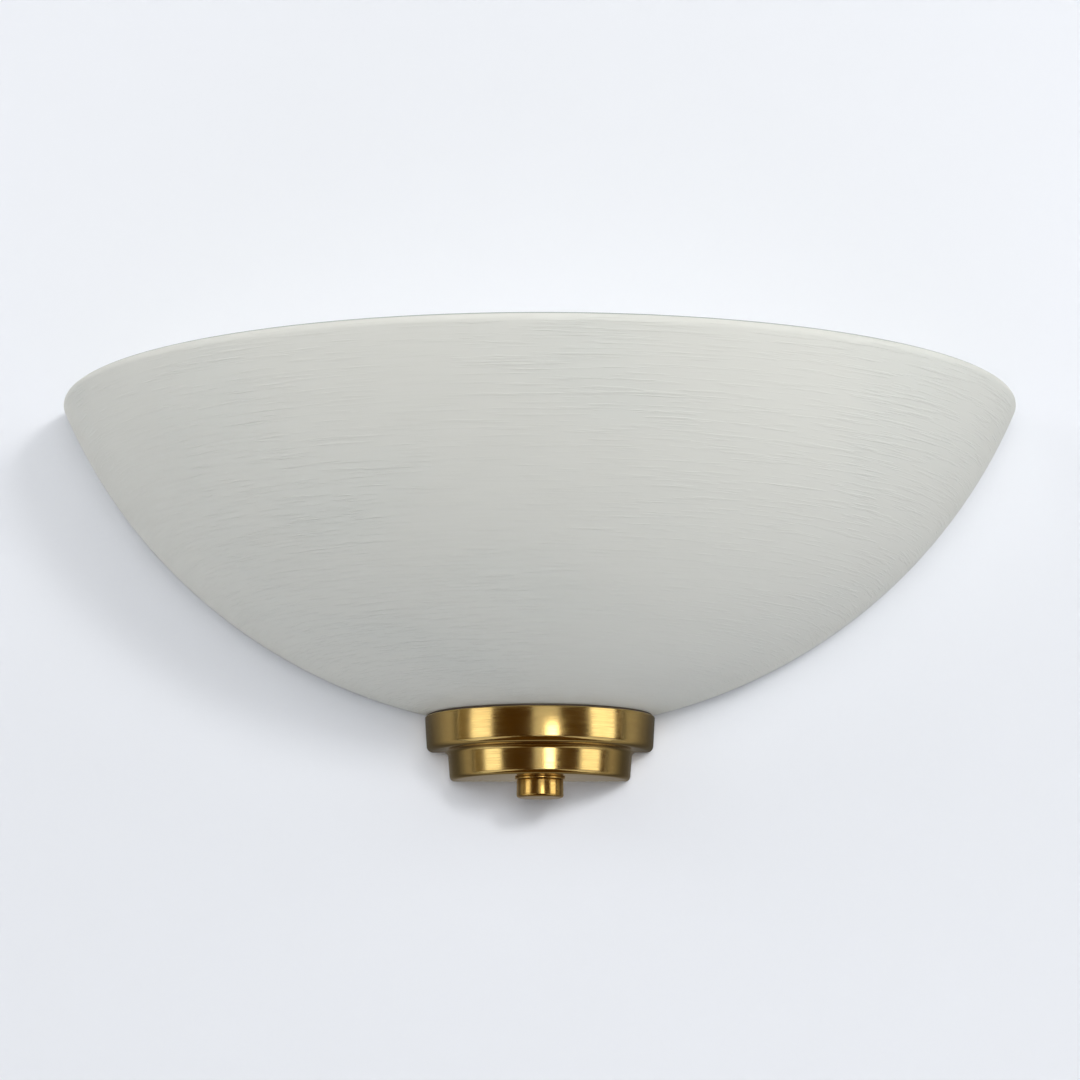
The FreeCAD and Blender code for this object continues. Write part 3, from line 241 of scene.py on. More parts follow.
def new_group(name, inputs, outputs):
    """An empty shader node group with named sockets: (name, socket type, default)."""
    group = bpy.data.node_groups.new(name, "ShaderNodeTree")
    for label, kind, default in inputs:
        socket = group.interface.new_socket(label, in_out="INPUT", socket_type=kind)
        if default is not None:
            socket.default_value = default
    for label, kind in outputs:
        group.interface.new_socket(label, in_out="OUTPUT", socket_type=kind)
    entry = group.nodes.new("NodeGroupInput")
    leave = group.nodes.new("NodeGroupOutput")
    return group, entry.outputs, leave.inputs


def feed(tree, socket, value):
    """Gives an input socket a plain value or links another node's output to it."""
    if isinstance(value, bpy.types.NodeSocket):
        tree.links.new(value, socket)
    else:
        socket.default_value = value


def node(tree, kind, inputs=None, **settings):
    """Adds a node with its settings and fed inputs."""
    made = tree.nodes.new(kind)
    for key, value in settings.items():
        setattr(made, key, value)
    for key, value in (inputs or {}).items():
        feed(tree, made.inputs[key], value)
    return made


def use_group(tree, group, **inputs):
    """Places a group in a material and returns its outputs."""
    made = tree.nodes.new("ShaderNodeGroup")
    made.node_tree = group
    for key, value in inputs.items():
        feed(tree, made.inputs[key.replace("_", " ")], value)
    return made.outputs


def reckon(tree, operation, first, second=0.0, third=0.0):
    """The output of a Math node."""
    inputs = {0: first, 1: second, 2: third}
    return node(tree, "ShaderNodeMath", inputs, operation=operation).outputs[0]


def blend_colours(tree, share, first, second):
    """The output of a colour mix."""
    inputs = {"Factor": share, 6: first, 7: second}
    return node(tree, "ShaderNodeMix", inputs, data_type="RGBA").outputs[2]


def spread(tree, value, low, high, from_low=0.3, from_high=0.7):
    """A value stretched from one range to another and held between its limits."""
    return node(tree, "ShaderNodeMapRange", {
        "Value": value, "From Min": from_low, "From Max": from_high, "To Min": low, "To Max": high,
    }).outputs[0]


def make_turned_streaks():
    """Brush or wipe marks that run round an upright axis: fine across it and long along it."""
    group, given, out = new_group("turned_streaks", [
        ("Vector", "NodeSocketVector", None),
        ("Across", "NodeSocketFloat", 700.0),
        ("Around", "NodeSocketFloat", 3.0),
        ("Detail", "NodeSocketFloat", 3.0),
    ], [("Streak", "NodeSocketFloat"), ("Broad", "NodeSocketFloat")])
    parts = node(group, "ShaderNodeSeparateXYZ", {0: given["Vector"]}).outputs
    reach = reckon(group, "SQRT", reckon(group, "ADD",
                                         reckon(group, "MULTIPLY", parts[0], parts[0]),
                                         reckon(group, "MULTIPLY", parts[1], parts[1])))
    turn = reckon(group, "ARCTAN2", parts[1], parts[0])
    around = reckon(group, "MULTIPLY", turn, given["Around"])
    across = reckon(group, "MULTIPLY", reach, given["Across"])
    upright = reckon(group, "MULTIPLY", parts[2], given["Across"])
    place = node(group, "ShaderNodeCombineXYZ", {0: around, 1: across, 2: upright}).outputs[0]
    fine = node(group, "ShaderNodeTexNoise", {
        "Vector": place, "Scale": 1.0, "Detail": given["Detail"], "Roughness": 0.6})
    wide = node(group, "ShaderNodeTexNoise", {"Vector": place, "Scale": 0.16, "Detail": 2.0})
    group.links.new(fine.outputs[0], out["Streak"])
    group.links.new(wide.outputs[0], out["Broad"])
    return group


def make_mottle():
    """Soft uneven patches with a few small specks, for paint, plating, plastic and rubber."""
    group, given, out = new_group("mottle", [
        ("Vector", "NodeSocketVector", None),
        ("Patch Scale", "NodeSocketFloat", 40.0),
        ("Speck Scale", "NodeSocketFloat", 900.0),
        ("Speck Level", "NodeSocketFloat", 0.62),
    ], [("Patch", "NodeSocketFloat"), ("Speck", "NodeSocketFloat"), ("Grain", "NodeSocketFloat")])
    patch = node(group, "ShaderNodeTexNoise", {
        "Vector": given["Vector"], "Scale": given["Patch Scale"], "Detail": 4.0, "Distortion": 0.4})
    grain = node(group, "ShaderNodeTexNoise", {
        "Vector": given["Vector"], "Scale": given["Speck Scale"], "Detail": 2.0})
    speck = spread(group, grain.outputs[0], 0.0, 1.0, given["Speck Level"], 0.8)
    group.links.new(patch.outputs[0], out["Patch"])
    group.links.new(speck, out["Speck"])
    group.links.new(grain.outputs[0], out["Grain"])
    return group


TURNED_STREAKS = make_turned_streaks()
MOTTLE = make_mottle()


def new_material(name, **constants):
    """A node material with its Principled shader's constants set on its own sockets."""
    material = bpy.data.materials.new(name)
    material.use_nodes = True
    tree = material.node_tree
    shader = tree.nodes["Principled BSDF"]
    for key, value in constants.items():
        shader.inputs[key.replace("_", " ")].default_value = value
    return material, tree, shader


def object_place(tree, middle=None):
    """Object coordinates, counted from a pattern's own middle where it has one."""
    place = node(tree, "ShaderNodeTexCoord").outputs["Object"]
    if middle is None:
        return place
    shift = [-part * MM for part in middle]
    return node(tree, "ShaderNodeMapping", {"Vector": place, "Location": shift}).outputs[0]


def surface(tree, shader, colour, roughness, height, depth, strength=1.0):
    """Links a colour, a roughness and a bump to a material's Principled shader."""
    tree.links.new(colour, shader.inputs["Base Color"])
    tree.links.new(roughness, shader.inputs["Roughness"])
    raised = node(tree, "ShaderNodeBump", {
        "Height": height, "Distance": depth, "Strength": strength})
    tree.links.new(raised.outputs[0], shader.inputs["Normal"])


# ---------------------------------------------------------------- materials


def brushed_metal(name, bright, dull, rough, across, around, depth, middle=None):
    """Metal brushed round an upright axis, dulled in broad soft bands."""
    material, tree, shader = new_material(name, Metallic=1.0)
    place = object_place(tree, middle)
    marks = use_group(tree, TURNED_STREAKS, Vector=place, Across=across, Around=around)
    patches = use_group(tree, MOTTLE, Vector=place, Patch_Scale=60.0)
    streak = spread(tree, marks["Streak"], 0.0, 1.0)
    age = spread(tree, patches["Patch"], 0.0, 0.6, 0.35, 0.75)
    worn = blend_colours(tree, age, bright, dull)
    colour = blend_colours(tree, reckon(tree, "MULTIPLY", streak, 0.35), worn, dull)
    surface(tree, shader, colour, spread(tree, marks["Streak"], *rough), marks["Streak"], depth)
    return material


def plain_metal(name, bright, dull, rough):
    """Plated, cast or rolled metal with uneven patches and a fine grain."""
    material, tree, shader = new_material(name, Metallic=1.0)
    patches = use_group(tree, MOTTLE, Vector=object_place(tree), Patch_Scale=90.0)
    share = spread(tree, patches["Patch"], 0.0, 1.0, 0.35, 0.7)
    colour = blend_colours(tree, share, bright, dull)
    roughness = spread(tree, patches["Patch"], *rough)
    surface(tree, shader, colour, roughness, patches["Grain"], 0.00002)
    return material


def moulded(name, main, shade, rough):
    """Paint, plastic, rubber or ceramic: soft patches, specks and a fine orange peel."""
    material, tree, shader = new_material(name)
    patches = use_group(tree, MOTTLE, Vector=object_place(tree), Patch_Scale=50.0)
    share = spread(tree, patches["Patch"], 0.0, 0.8, 0.35, 0.7)
    colour = blend_colours(tree, share, main, shade)
    specked = blend_colours(tree, reckon(tree, "MULTIPLY", patches["Speck"], 0.4), colour, shade)
    roughness = spread(tree, patches["Patch"], *rough)
    surface(tree, shader, specked, roughness, patches["Grain"], 0.00003)
    return material


def opal_glass():
    """White opal glass, painted off-white in fine wiped strokes that follow the bowl round, with a
    painted highlight along the stroke ridges.

    Above a set height the lip's top turns a darker green-grey and is glossier."""
    light, deep = (0.73, 0.73, 0.675, 1), (0.64, 0.645, 0.585, 1)
    cool, ridge_highlight_tone = (0.67, 0.70, 0.655, 1), (0.78, 0.78, 0.73, 1)
    lip_band_tone, lip_band_from, lip_band_top = (0.30, 0.345, 0.31, 1), 39.35, 39.8
    material, tree, shader = new_material("opal_glass", Specular_IOR_Level=0.35)
    place = object_place(tree, (0, 0, 20))
    strokes = use_group(tree, TURNED_STREAKS, Vector=place, Across=1100.0, Around=7.0, Detail=3.0)
    patches = use_group(tree, MOTTLE, Vector=place, Patch_Scale=14.0, Speck_Scale=500.0)
    wiped = spread(tree, strokes["Streak"], 0.0, 0.3, 0.4, 0.75)
    streaked = blend_colours(tree, wiped, light, deep)
    ridge = spread(tree, strokes["Streak"], 0.0, 1.0, 0.52, 0.7)
    brushed_in = reckon(tree, "MULTIPLY", ridge, spread(tree, patches["Patch"], 0.1, 1.0))
    # The stroke ridges are lighter in colour: a painted highlight, beside the bump that raises
    # them.
    ridge_highlighted = blend_colours(tree, reckon(tree, "MULTIPLY", brushed_in, 0.4), streaked, ridge_highlight_tone)
    mixed = blend_colours(tree, spread(tree, patches["Patch"], 0.0, 0.35, 0.45, 0.7), ridge_highlighted, cool)
    level = node(tree, "ShaderNodeSeparateXYZ", {0: object_place(tree)}).outputs[2]
    # The lip's top is darkened to a green-grey above this height.
    dark_lip_band = spread(tree, level, 0.0, 1.0, lip_band_from * MM, lip_band_top * MM)
    satin = spread(tree, strokes["Broad"], 0.45, 0.62)
    polish = reckon(tree, "SUBTRACT", 1.0, reckon(tree, "MULTIPLY", dark_lip_band, 0.6))
    surface(tree, shader, blend_colours(tree, dark_lip_band, mixed, lip_band_tone),
            reckon(tree, "MULTIPLY", satin, polish), brushed_in, 0.00022, 0.8)
    return material


def striped_lead():
    """Green insulation with a broad yellow stripe wound along it."""
    green, yellow = (0.04, 0.30, 0.05, 1), (0.72, 0.58, 0.03, 1)
    material, tree, shader = new_material("striped_lead")
    place = object_place(tree)
    wave = node(tree, "ShaderNodeTexWave", {"Vector": place, "Scale": 90.0, "Distortion": 0.6},
                bands_direction="DIAGONAL")
    stripe = spread(tree, wave.outputs[1], 0.0, 1.0, 0.45, 0.55)
    patches = use_group(tree, MOTTLE, Vector=place, Patch_Scale=120.0)
    surface(tree, shader, blend_colours(tree, stripe, green, yellow),
            spread(tree, patches["Patch"], 0.3, 0.5), patches["Grain"], 0.00002)
    return material


MATERIALS = {
    "opal_glass": opal_glass(),
    "antique_brass": brushed_metal(
        "antique_brass", (0.64, 0.46, 0.17, 1), (0.46, 0.29, 0.09, 1), (0.12, 0.23),
        across=2600.0, around=4.0, depth=0.000012),
    "polished_brass": brushed_metal(
        "polished_brass", (0.58, 0.37, 0.11, 1), (0.42, 0.25, 0.06, 1), (0.17, 0.27),
        across=1500.0, around=2.0, depth=0.000003, middle=(0, -15, 0)),
    "lead_green_yellow": striped_lead(),
}
for make, name, main, second, rough in (
        (plain_metal, "zinc_steel", (0.56, 0.57, 0.57, 1), (0.36, 0.37, 0.36, 1), (0.28, 0.5)),
        (plain_metal, "contact_brass", (0.62, 0.44, 0.18, 1), (0.42, 0.28, 0.1, 1), (0.28, 0.5)),
        (plain_metal, "cap_nickel", (0.62, 0.60, 0.56, 1), (0.45, 0.43, 0.4, 1), (0.2, 0.38)),
        # The seal's dark brown is partly its own rubber and partly painted shade for the gap under
        # the glass.
        (moulded, "seal_rubber", (0.10, 0.075, 0.05, 1), (0.07, 0.055, 0.04, 1), (0.5, 0.7)),
        (moulded, "dark_rubber", (0.03, 0.03, 0.032, 1), (0.06, 0.058, 0.055, 1), (0.55, 0.75)),
        (moulded, "white_enamel", (0.74, 0.745, 0.74, 1), (0.66, 0.66, 0.645, 1), (0.3, 0.42)),
        (moulded, "white_phenolic", (0.74, 0.72, 0.66, 1), (0.66, 0.63, 0.56, 1), (0.25, 0.4)),
        (moulded, "insert_ceramic", (0.7, 0.69, 0.64, 1), (0.6, 0.58, 0.53, 1), (0.4, 0.6)),
        (moulded, "black_glass", (0.01, 0.01, 0.012, 1), (0.02, 0.02, 0.022, 1), (0.08, 0.2)),
        (moulded, "lamp_plastic", (0.76, 0.76, 0.75, 1), (0.7, 0.7, 0.68, 1), (0.35, 0.5)),
        (moulded, "lamp_opal", (0.82, 0.82, 0.8, 1), (0.78, 0.78, 0.75, 1), (0.3, 0.42)),
        (moulded, "block_nylon", (0.66, 0.65, 0.6, 1), (0.58, 0.56, 0.5, 1), (0.4, 0.55)),
        (moulded, "lead_brown", (0.13, 0.05, 0.02, 1), (0.09, 0.035, 0.015, 1), (0.35, 0.5)),
        (moulded, "lead_blue", (0.02, 0.09, 0.38, 1), (0.015, 0.06, 0.28, 1), (0.35, 0.5)),
):
    MATERIALS[name] = make(name, main, second, rough)


def dress(piece, body, slot_name, replaced, finish=None):
    """Gives a new piece its material and the body it rides on, and hides the frame's node it
    replaces.
    """
    piece.data.materials.clear()
    piece.data.materials.append(MATERIALS[finish or slot_name])
    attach(piece, body)
    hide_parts(replaced)


# ---------------------------------------------------------------- glass shade

RIM_RADIUS = 152.5
RIM_HEIGHT = 40
GLASS_WALL = 4
GLASS_GAP = 1
LIP = GLASS_WALL / 2
ARC_PAST_AXIS = 3.8
ARC_RISE = 68.69
LIP_X = RIM_RADIUS - LIP
LIP_Z = RIM_HEIGHT - LIP
OUTER_ARC = math.hypot(LIP_X + ARC_PAST_AXIS, ARC_RISE) + LIP
INNER_ARC = OUTER_ARC - GLASS_WALL
LIP_TURN = -math.degrees(math.acos((LIP_X + ARC_PAST_AXIS) / (OUTER_ARC - LIP)))
ARC_CENTRE = (-ARC_PAST_AXIS, LIP_Z - (OUTER_ARC - LIP) * math.sin(math.radians(LIP_TURN)))
STUD = (0, -15)


def glass_level(radius, arc_radius=OUTER_ARC):
    """Height of the glass's outer or inner face at this distance from the axis."""
    return ARC_CENTRE[1] - math.sqrt(arc_radius ** 2 - (radius + ARC_PAST_AXIS) ** 2)


def foot_turn(arc_radius):
    """Angle, in degrees, at which an arc of the bowl meets its axis."""
    return -math.degrees(math.acos(ARC_PAST_AXIS / arc_radius))


def glass_bowl():
    """Half bowl of one even wall with a full round lip and eased back edges."""
    back_ease, stud_hole, below, above = 0.7, 7, -70, -50
    outer = arc(ARC_CENTRE, OUTER_ARC, foot_turn(OUTER_ARC), LIP_TURN, 56)
    lip = arc((LIP_X, LIP_Z), LIP, LIP_TURN, LIP_TURN + 180, 14)
    inner = arc(ARC_CENTRE, INNER_ARC, LIP_TURN, foot_turn(INNER_ARC), 44)
    profile = [(0, glass_level(0))] + outer[1:] + lip[1:-1] + inner[:-1]
    bowl = turned("glass_shade", profile + [(0, glass_level(0, INNER_ARC))], 288)
    cut_at_wall(bowl, GLASS_GAP)

    def on_back(middle):
        return abs(middle.y + GLASS_GAP * MM) < NEAR

    pick(bowl, "EDGE", on_back)
    bpy.ops.mesh.bevel(offset=back_ease * MM, segments=3, affect="EDGES", clamp_overlap=True)
    bpy.ops.object.mode_set(mode="OBJECT")
    bore(bowl, stud_hole, below, above, STUD)
    dress(bowl, "shade", "opal_glass", "glass_bowl")


glass_bowl()

# ---------------------------------------------------------------- stepped cup, seal, collar, knob

CUP_RADIUS = 36.6
CUP_WALL = 1.2
SEAL_HEIGHT = 0.5
CUP_TOP = glass_level(CUP_RADIUS - CUP_WALL) - SEAL_HEIGHT
CUP_STEP = CUP_TOP - 11.2
CUP_FOOT = CUP_STEP - 9.2
TIER_RADIUS = 29.25
DRAFT = 0.5
CUP_GAP = GLASS_GAP / 2
STUD_HOLE = 3.3
KNOB_TOP = CUP_FOOT - 0.8
KNOB_FOOT = KNOB_TOP - 5.7
KNOB_FLOOR = 1.2


def stepped_cup():
    """Pressed cup of two tiers with rolled corners, cut in half at the wall."""
    upper_round, lower_round, fillet, edge = 2.2, 1.6, 1.4, 0.3
    upper_middle = (CUP_RADIUS - DRAFT - upper_round, CUP_STEP + upper_round)
    lower_foot = TIER_RADIUS - DRAFT
    inside = CUP_RADIUS - CUP_WALL
    floor = CUP_FOOT + CUP_WALL
    below, above = -85, -70
    profile = [(0, CUP_FOOT)]
    profile += arc((lower_foot - lower_round, CUP_FOOT + lower_round), lower_round, -90, 0, 8)
    profile += arc((TIER_RADIUS + fillet, CUP_STEP - fillet), fillet, 180, 90, 8)
    profile += arc(upper_middle, upper_round, -90, 0, 9)
    profile += arc((CUP_RADIUS - edge, CUP_TOP - edge), edge, 0, 90, 3)
    profile += arc((inside + edge, CUP_TOP - edge), edge, 90, 180, 3)
    profile += arc(upper_middle, upper_round - CUP_WALL, 0, -90, 5)
    profile += [(TIER_RADIUS - CUP_WALL, CUP_STEP + CUP_WALL), (lower_foot - CUP_WALL, floor)]
    cup = turned("stepped_cup", profile + [(0, floor)], 192)
    cut_at_wall(cup, CUP_GAP)
    bore(cup, STUD_HOLE, below, above, STUD, 48)
    dress(cup, "shade", "antique_brass", "gallery_cup")


def edge_seal():
    """Thin dark half ring between the cup's edge and the glass; its dark brown also paints the
    shade in the gap there.
    """
    inner = CUP_RADIUS - CUP_WALL
    width = CUP_WALL - 0.8
    reaches = [inner + width * step / 4 for step in range(5)]
    top = [(reach, glass_level(reach)) for reach in reversed(reaches)]
    profile = [(inner, CUP_TOP), (inner + width, CUP_TOP)] + top + [(inner, CUP_TOP)]
    seal = turned("edge_seal", profile, 192)
    cut_at_wall(seal, CUP_GAP)
    dress(seal, "shade", "dark_rubber", "cup_edge_seal", finish="seal_rubber")


def collar():
    """Thin washer with eased edges between the cup and the knob."""
    radius, edge = 7.9, 0.25
    profile = arc((radius - edge, KNOB_TOP + edge), edge, -90, 0, 3)
    profile += arc((radius - edge, CUP_FOOT - edge), edge, 0, 90, 3)
    profile += [(STUD_HOLE, CUP_FOOT), (STUD_HOLE, KNOB_TOP)]
    piece = turned("collar", profile + [profile[0]], 96, STUD)
    dress(piece, "shade", "polished_brass", "finial_collar")


def knob():
    """Turned knob with a rounded foot, an eased top edge and a blind bore with a widened mouth."""
    radius, foot_round, top_round = 7.4, 0.9, 0.35
    bore_radius, bore_mouth, mouth_depth = 3.05, 3.4, 0.35
    top = KNOB_TOP - 0.05
    floor = KNOB_FOOT + KNOB_FLOOR
    profile = [(0, KNOB_FOOT)]
    profile += arc((radius - foot_round, KNOB_FOOT + foot_round), foot_round, -90, 0, 8)
    profile += arc((radius - top_round, top - top_round), top_round, 0, 90, 5)
    profile += [(bore_mouth, top), (bore_radius, top - mouth_depth), (bore_radius, floor)]
    piece = turned("knob", profile + [(0, floor)], 96, STUD)
    dress(piece, "finial", "polished_brass", "finial_knob")


stepped_cup()
edge_seal()
collar()
knob()

# ---------------------------------------------------------------- stud

PAN_ROOM = 9
PAN_SEAT_HALF = 20
PAN_WALL = 1.2
LOCK_WASHER = 0.8
NUT_HEIGHT = 3.2
STUD_PROUD = 2.5
STUD_END_ROOM = 0.3
PAN_FOOT = ARC_CENTRE[1] - math.sqrt((INNER_ARC - PAN_ROOM) ** 2 - PAN_SEAT_HALF ** 2)
STUD_TOP = PAN_FOOT + PAN_WALL + LOCK_WASHER + NUT_HEIGHT + STUD_PROUD
STUD_FOOT = KNOB_FOOT + KNOB_FLOOR + STUD_END_ROOM


def threaded_stud():
    """Rod with a rolled thread from end to end and chamfered tips."""
    crest, root, tip, chamfer, run_out = 3.0, 2.5, 2.0, 0.5, 0.6
    profile = [(0, STUD_FOOT), (tip, STUD_FOOT), (root, STUD_FOOT + chamfer),
               (root, STUD_TOP - chamfer), (tip, STUD_TOP), (0, STUD_TOP)]
    core = turned("stud_core", profile, 48, STUD)
    ridge = thread(crest, 0.62, 1.0, STUD_FOOT + run_out, STUD_TOP - run_out, 32, STUD)
    dress(join([core, ridge], "threaded_stud"), "wall_frame", "zinc_steel", "shade_stud")


threaded_stud()

# ---------------------------------------------------------------- lampholder on its tilted axis

LAMP_TILT = 45
LAMP_SIDE, LAMP_OUT = -34, -56
LAMP_GLASS_ROOM = 17.14
LAMP_REACH = math.hypot(LAMP_SIDE, LAMP_OUT)
LAMP_BASE = (LAMP_SIDE, LAMP_OUT, glass_level(LAMP_REACH, INNER_ARC) + LAMP_GLASS_ROOM)
HOLDER_INSIDE = 12.2
HOLDER_SPLIT = 12
SHEET_PITCH = 2.82


def put_on_lamp_axis(piece):
    """Brings a piece drawn about the upright axis at the origin onto the tilted lamp axis."""
    select_only(piece)
    piece.rotation_euler = (0, math.radians(LAMP_TILT), 0)
    piece.location = [part * MM for part in LAMP_BASE]
    settle()
    return piece


def threaded_nipple():
    """Steel tube with a fine thread from end to end."""
    tube_bore, root, crest, low, high, chamfer = 4, 4.6, 5.0, -6, 7, 0.2
    profile = [(tube_bore, low), (root - chamfer, low), (root, low + chamfer),
               (root, high - chamfer), (root - chamfer, high), (tube_bore, high), (tube_bore, low)]
    core = turned("nipple_core", profile, 64)
    ridge = thread(crest, 0.55, 1.0, low + 0.4, high - 0.4, 40)
    nipple = put_on_lamp_axis(join([core, ridge], "threaded_nipple"))
    dress(nipple, "wall_frame", "zinc_steel", "holder_nipple")


def holder_cap():
    """Moulded cap of the lampholder: a boss, an eased dome and a square shoulder."""
    hole, boss, neck, dome_foot, dome, outside, edge = 5, 7.5, 1.2, 5, 2.6, 13.5, 0.4
    floor, corner = 7, 1.25
    profile = [(hole, 0)] + arc((boss - edge, edge), edge, -90, 0, 4)
    profile += arc((boss + neck, dome_foot - neck), neck, 180, 90, 6)
    profile += arc((outside - dome, dome_foot + dome), dome, -90, 0, 10)
    profile += arc((outside - edge, HOLDER_SPLIT - edge), edge, 0, 90, 4)
    profile += [(HOLDER_INSIDE, HOLDER_SPLIT), (HOLDER_INSIDE, floor + corner),
                (outside - dome, floor), (hole, floor), (hole, 0)]
    cap = put_on_lamp_axis(turned("holder_cap", profile, 128))
    dress(cap, "wall_frame", "white_phenolic", "holder_base")


def holder_skirt():
    """Moulded skirt with a ribbed grip ring at its foot and a rolled mouth."""
    ring, ring_edge, ring_low, ring_high = 13.5, 0.3, 12.4, 16.7
    rib_radius, rib_length, rib_reach, rib_level, rib_count = 0.42, 4.1, 13.78, 14.55, 44
    profile = [(HOLDER_INSIDE, HOLDER_SPLIT), (13.6, HOLDER_SPLIT)]
    profile += arc((ring, ring_low), ring_edge, -90, 0, 4)
    profile += arc((ring, ring_high), ring_edge, 0, 60, 4)
    profile += [(13.3, 17.9), (12.65, 38.6)] + arc((12.1, 39.4), 0.55, 10, 90, 6)
    profile += arc((11.75, 39.5), 0.45, 90, 180, 6) + [(HOLDER_INSIDE, HOLDER_SPLIT)]
    skirt = turned("holder_skirt", profile, 160)
    rib = add("grip_rib", bpy.ops.mesh.primitive_cylinder_add, vertices=10,
              radius=rib_radius * MM, depth=rib_length * MM,
              location=(rib_reach * MM, 0, rib_level * MM))
    modify(rib, "BEVEL", width=0.15 * MM, segments=2, limit_method="ANGLE")
    ribs = finish_mesh(ring_of(rib, rib_count))
    body = put_on_lamp_axis(join([skirt, ribs], "holder_skirt"))
    dress(body, "wall_frame", "white_phenolic", "holder_body")


def holder_shell():
    """Brass screw shell rolled from thin sheet, its thread showing on the inside."""
    inner, outer, low, high = 7.38, 7.5, 15.4, 38.4
    profile = [(inner, low), (outer, low), (outer, high), (inner, high), (inner, low)]
    core = turned("shell_core", profile, 96)
    ridge = thread(7.56, 0.46, SHEET_PITCH, 16.5, 38.0, 48, corners=8)
    shell = put_on_lamp_axis(join([core, ridge], "holder_shell"))
    dress(shell, "wall_frame", "contact_brass", "holder_screw_shell")


threaded_nipple()
holder_cap()
holder_skirt()
holder_shell()

# ---------------------------------------------------------------- lamp

LAMP_FOOT = 16.05
LAMP_LENGTH = 78
CAP_SHELL = LAMP_FOOT + 5.3
CAP_TOP = LAMP_FOOT + 25
GLOBE_RADIUS = 22.5
GLOBE_OPENING = 10.5  # how far the globe's open edge lies below its middle
GLOBE_MIDDLE = LAMP_FOOT + LAMP_LENGTH - GLOBE_RADIUS
HOUSING_TOP = GLOBE_MIDDLE - GLOBE_OPENING
HOUSING_TOP_RADIUS = math.sqrt(GLOBE_RADIUS ** 2 - GLOBE_OPENING ** 2)


def lamp_screw_cap():
    """Nickel screw cap: a rope thread in thin sheet, a plain collar above and a rolled foot."""
    foot, foot_round, collar_middle, collar_round, sheet = 5.95, 0.5, 6.55, 0.4, 0.8
    profile = [(0, CAP_SHELL)] + arc((foot, CAP_SHELL + foot_round), foot_round, -90, 0, 5)
    profile += [(foot + foot_round, CAP_TOP - 6.2)]
    profile += arc((collar_middle, CAP_TOP - 5.2), collar_round, -90, 0, 4)
    profile += arc((collar_middle, CAP_TOP - collar_round), collar_round, 0, 90, 4)
    profile += [(6.3, CAP_TOP), (6.2, CAP_SHELL + sheet), (0, CAP_SHELL + sheet)]
    core = turned("cap_core", profile, 96)
    ridge = thread(6.95, 1.2, SHEET_PITCH, CAP_SHELL + 1.0, CAP_TOP - 6.4, 48, corners=8)
    cap = put_on_lamp_axis(join([core, ridge], "lamp_screw_cap"))
    dress(cap, "lamp", "cap_nickel", "lamp_cap")


def lamp_body():
    """Plastic housing that flares to the globe, with a fine step under its rim."""
    foot, sag, step_in, step_edge, wall = 8.5, 1.3, 0.25, 0.05, 1.6
    run, rise = HOUSING_TOP_RADIUS - foot, HOUSING_TOP - CAP_TOP
    chord = math.hypot(run, rise)
    radius = chord ** 2 / (8 * sag) + sag / 2
    reach = radius - sag
    middle = (foot + run / 2 - reach * rise / chord, CAP_TOP + rise / 2 + reach * run / chord)
    start = math.degrees(math.atan2(CAP_TOP - middle[1], foot - middle[0]))
    end = math.degrees(math.atan2(HOUSING_TOP - middle[1], HOUSING_TOP_RADIUS - middle[0]))
    flare = arc(middle, radius, start, end, 24)
    rim = [(flare[20][0] - step_in, flare[20][1] + step_edge)]
    rim += [(place - step_in, level) for place, level in flare[21:23]]
    rim += [(flare[22][0], flare[22][1] + step_edge)] + flare[23:]
    floor = CAP_TOP + wall
    inside = [(HOUSING_TOP_RADIUS - wall, HOUSING_TOP), (6.9, floor), (0, floor)]
    profile = [(0, CAP_TOP), (8.1, CAP_TOP), (8.45, CAP_TOP + 0.25)] + flare[1:20] + rim + inside
    body = put_on_lamp_axis(turned("lamp_body", profile, 128))
    dress(body, "lamp", "lamp_plastic", "lamp_housing")


def opal_globe():
    """Moulded globe of one thin wall, closed over the lamp and open to its housing."""
    inner = GLOBE_RADIUS - 1
    low = -math.degrees(math.asin(GLOBE_OPENING / GLOBE_RADIUS))
    inner_low = -math.degrees(math.asin(GLOBE_OPENING / inner))
    middle = (0, GLOBE_MIDDLE)
    outer = arc(middle, GLOBE_RADIUS, low, 90, 48)[:-1] + [(0, GLOBE_MIDDLE + GLOBE_RADIUS)]
    inside = arc(middle, inner, inner_low, 90, 40)[:-1] + [(0, GLOBE_MIDDLE + inner)]
    globe = put_on_lamp_axis(turned("opal_globe", outer[::-1] + inside, 144))
    dress(globe, "lamp", "lamp_opal", "lamp_globe")


lamp_screw_cap()
lamp_body()
opal_globe()

# ---------------------------------------------------------------- finishes of the frame's pieces

for name, piece in frame["nodes"].items():
    material = MATERIALS[slots[name]]
    if piece.material_slots:
        for place in piece.material_slots:
            place.material = material
    else:
        piece.data.materials.append(material)

# ---------------------------------------------------------------- wall and floor


def rays_that_look(tree, path):
    """1 for the rays that show a surface itself: the camera's, a reflection's or glass's."""
    mirrored = reckon(tree, "MAXIMUM", path["Is Glossy Ray"], path["Is Transmission Ray"])
    return reckon(tree, "MAXIMUM", path["Is Camera Ray"], mirrored)


def clear_where(tree, share, front):
    """Makes a material see-through by a share, and leaves its front shader elsewhere."""
    clear = node(tree, "ShaderNodeBsdfTransparent")
    mix = node(tree, "ShaderNodeMixShader", {0: share, 1: front.outputs[0], 2: clear.outputs[0]})
    tree.links.new(mix.outputs[0], tree.nodes["Material Output"].inputs["Surface"])


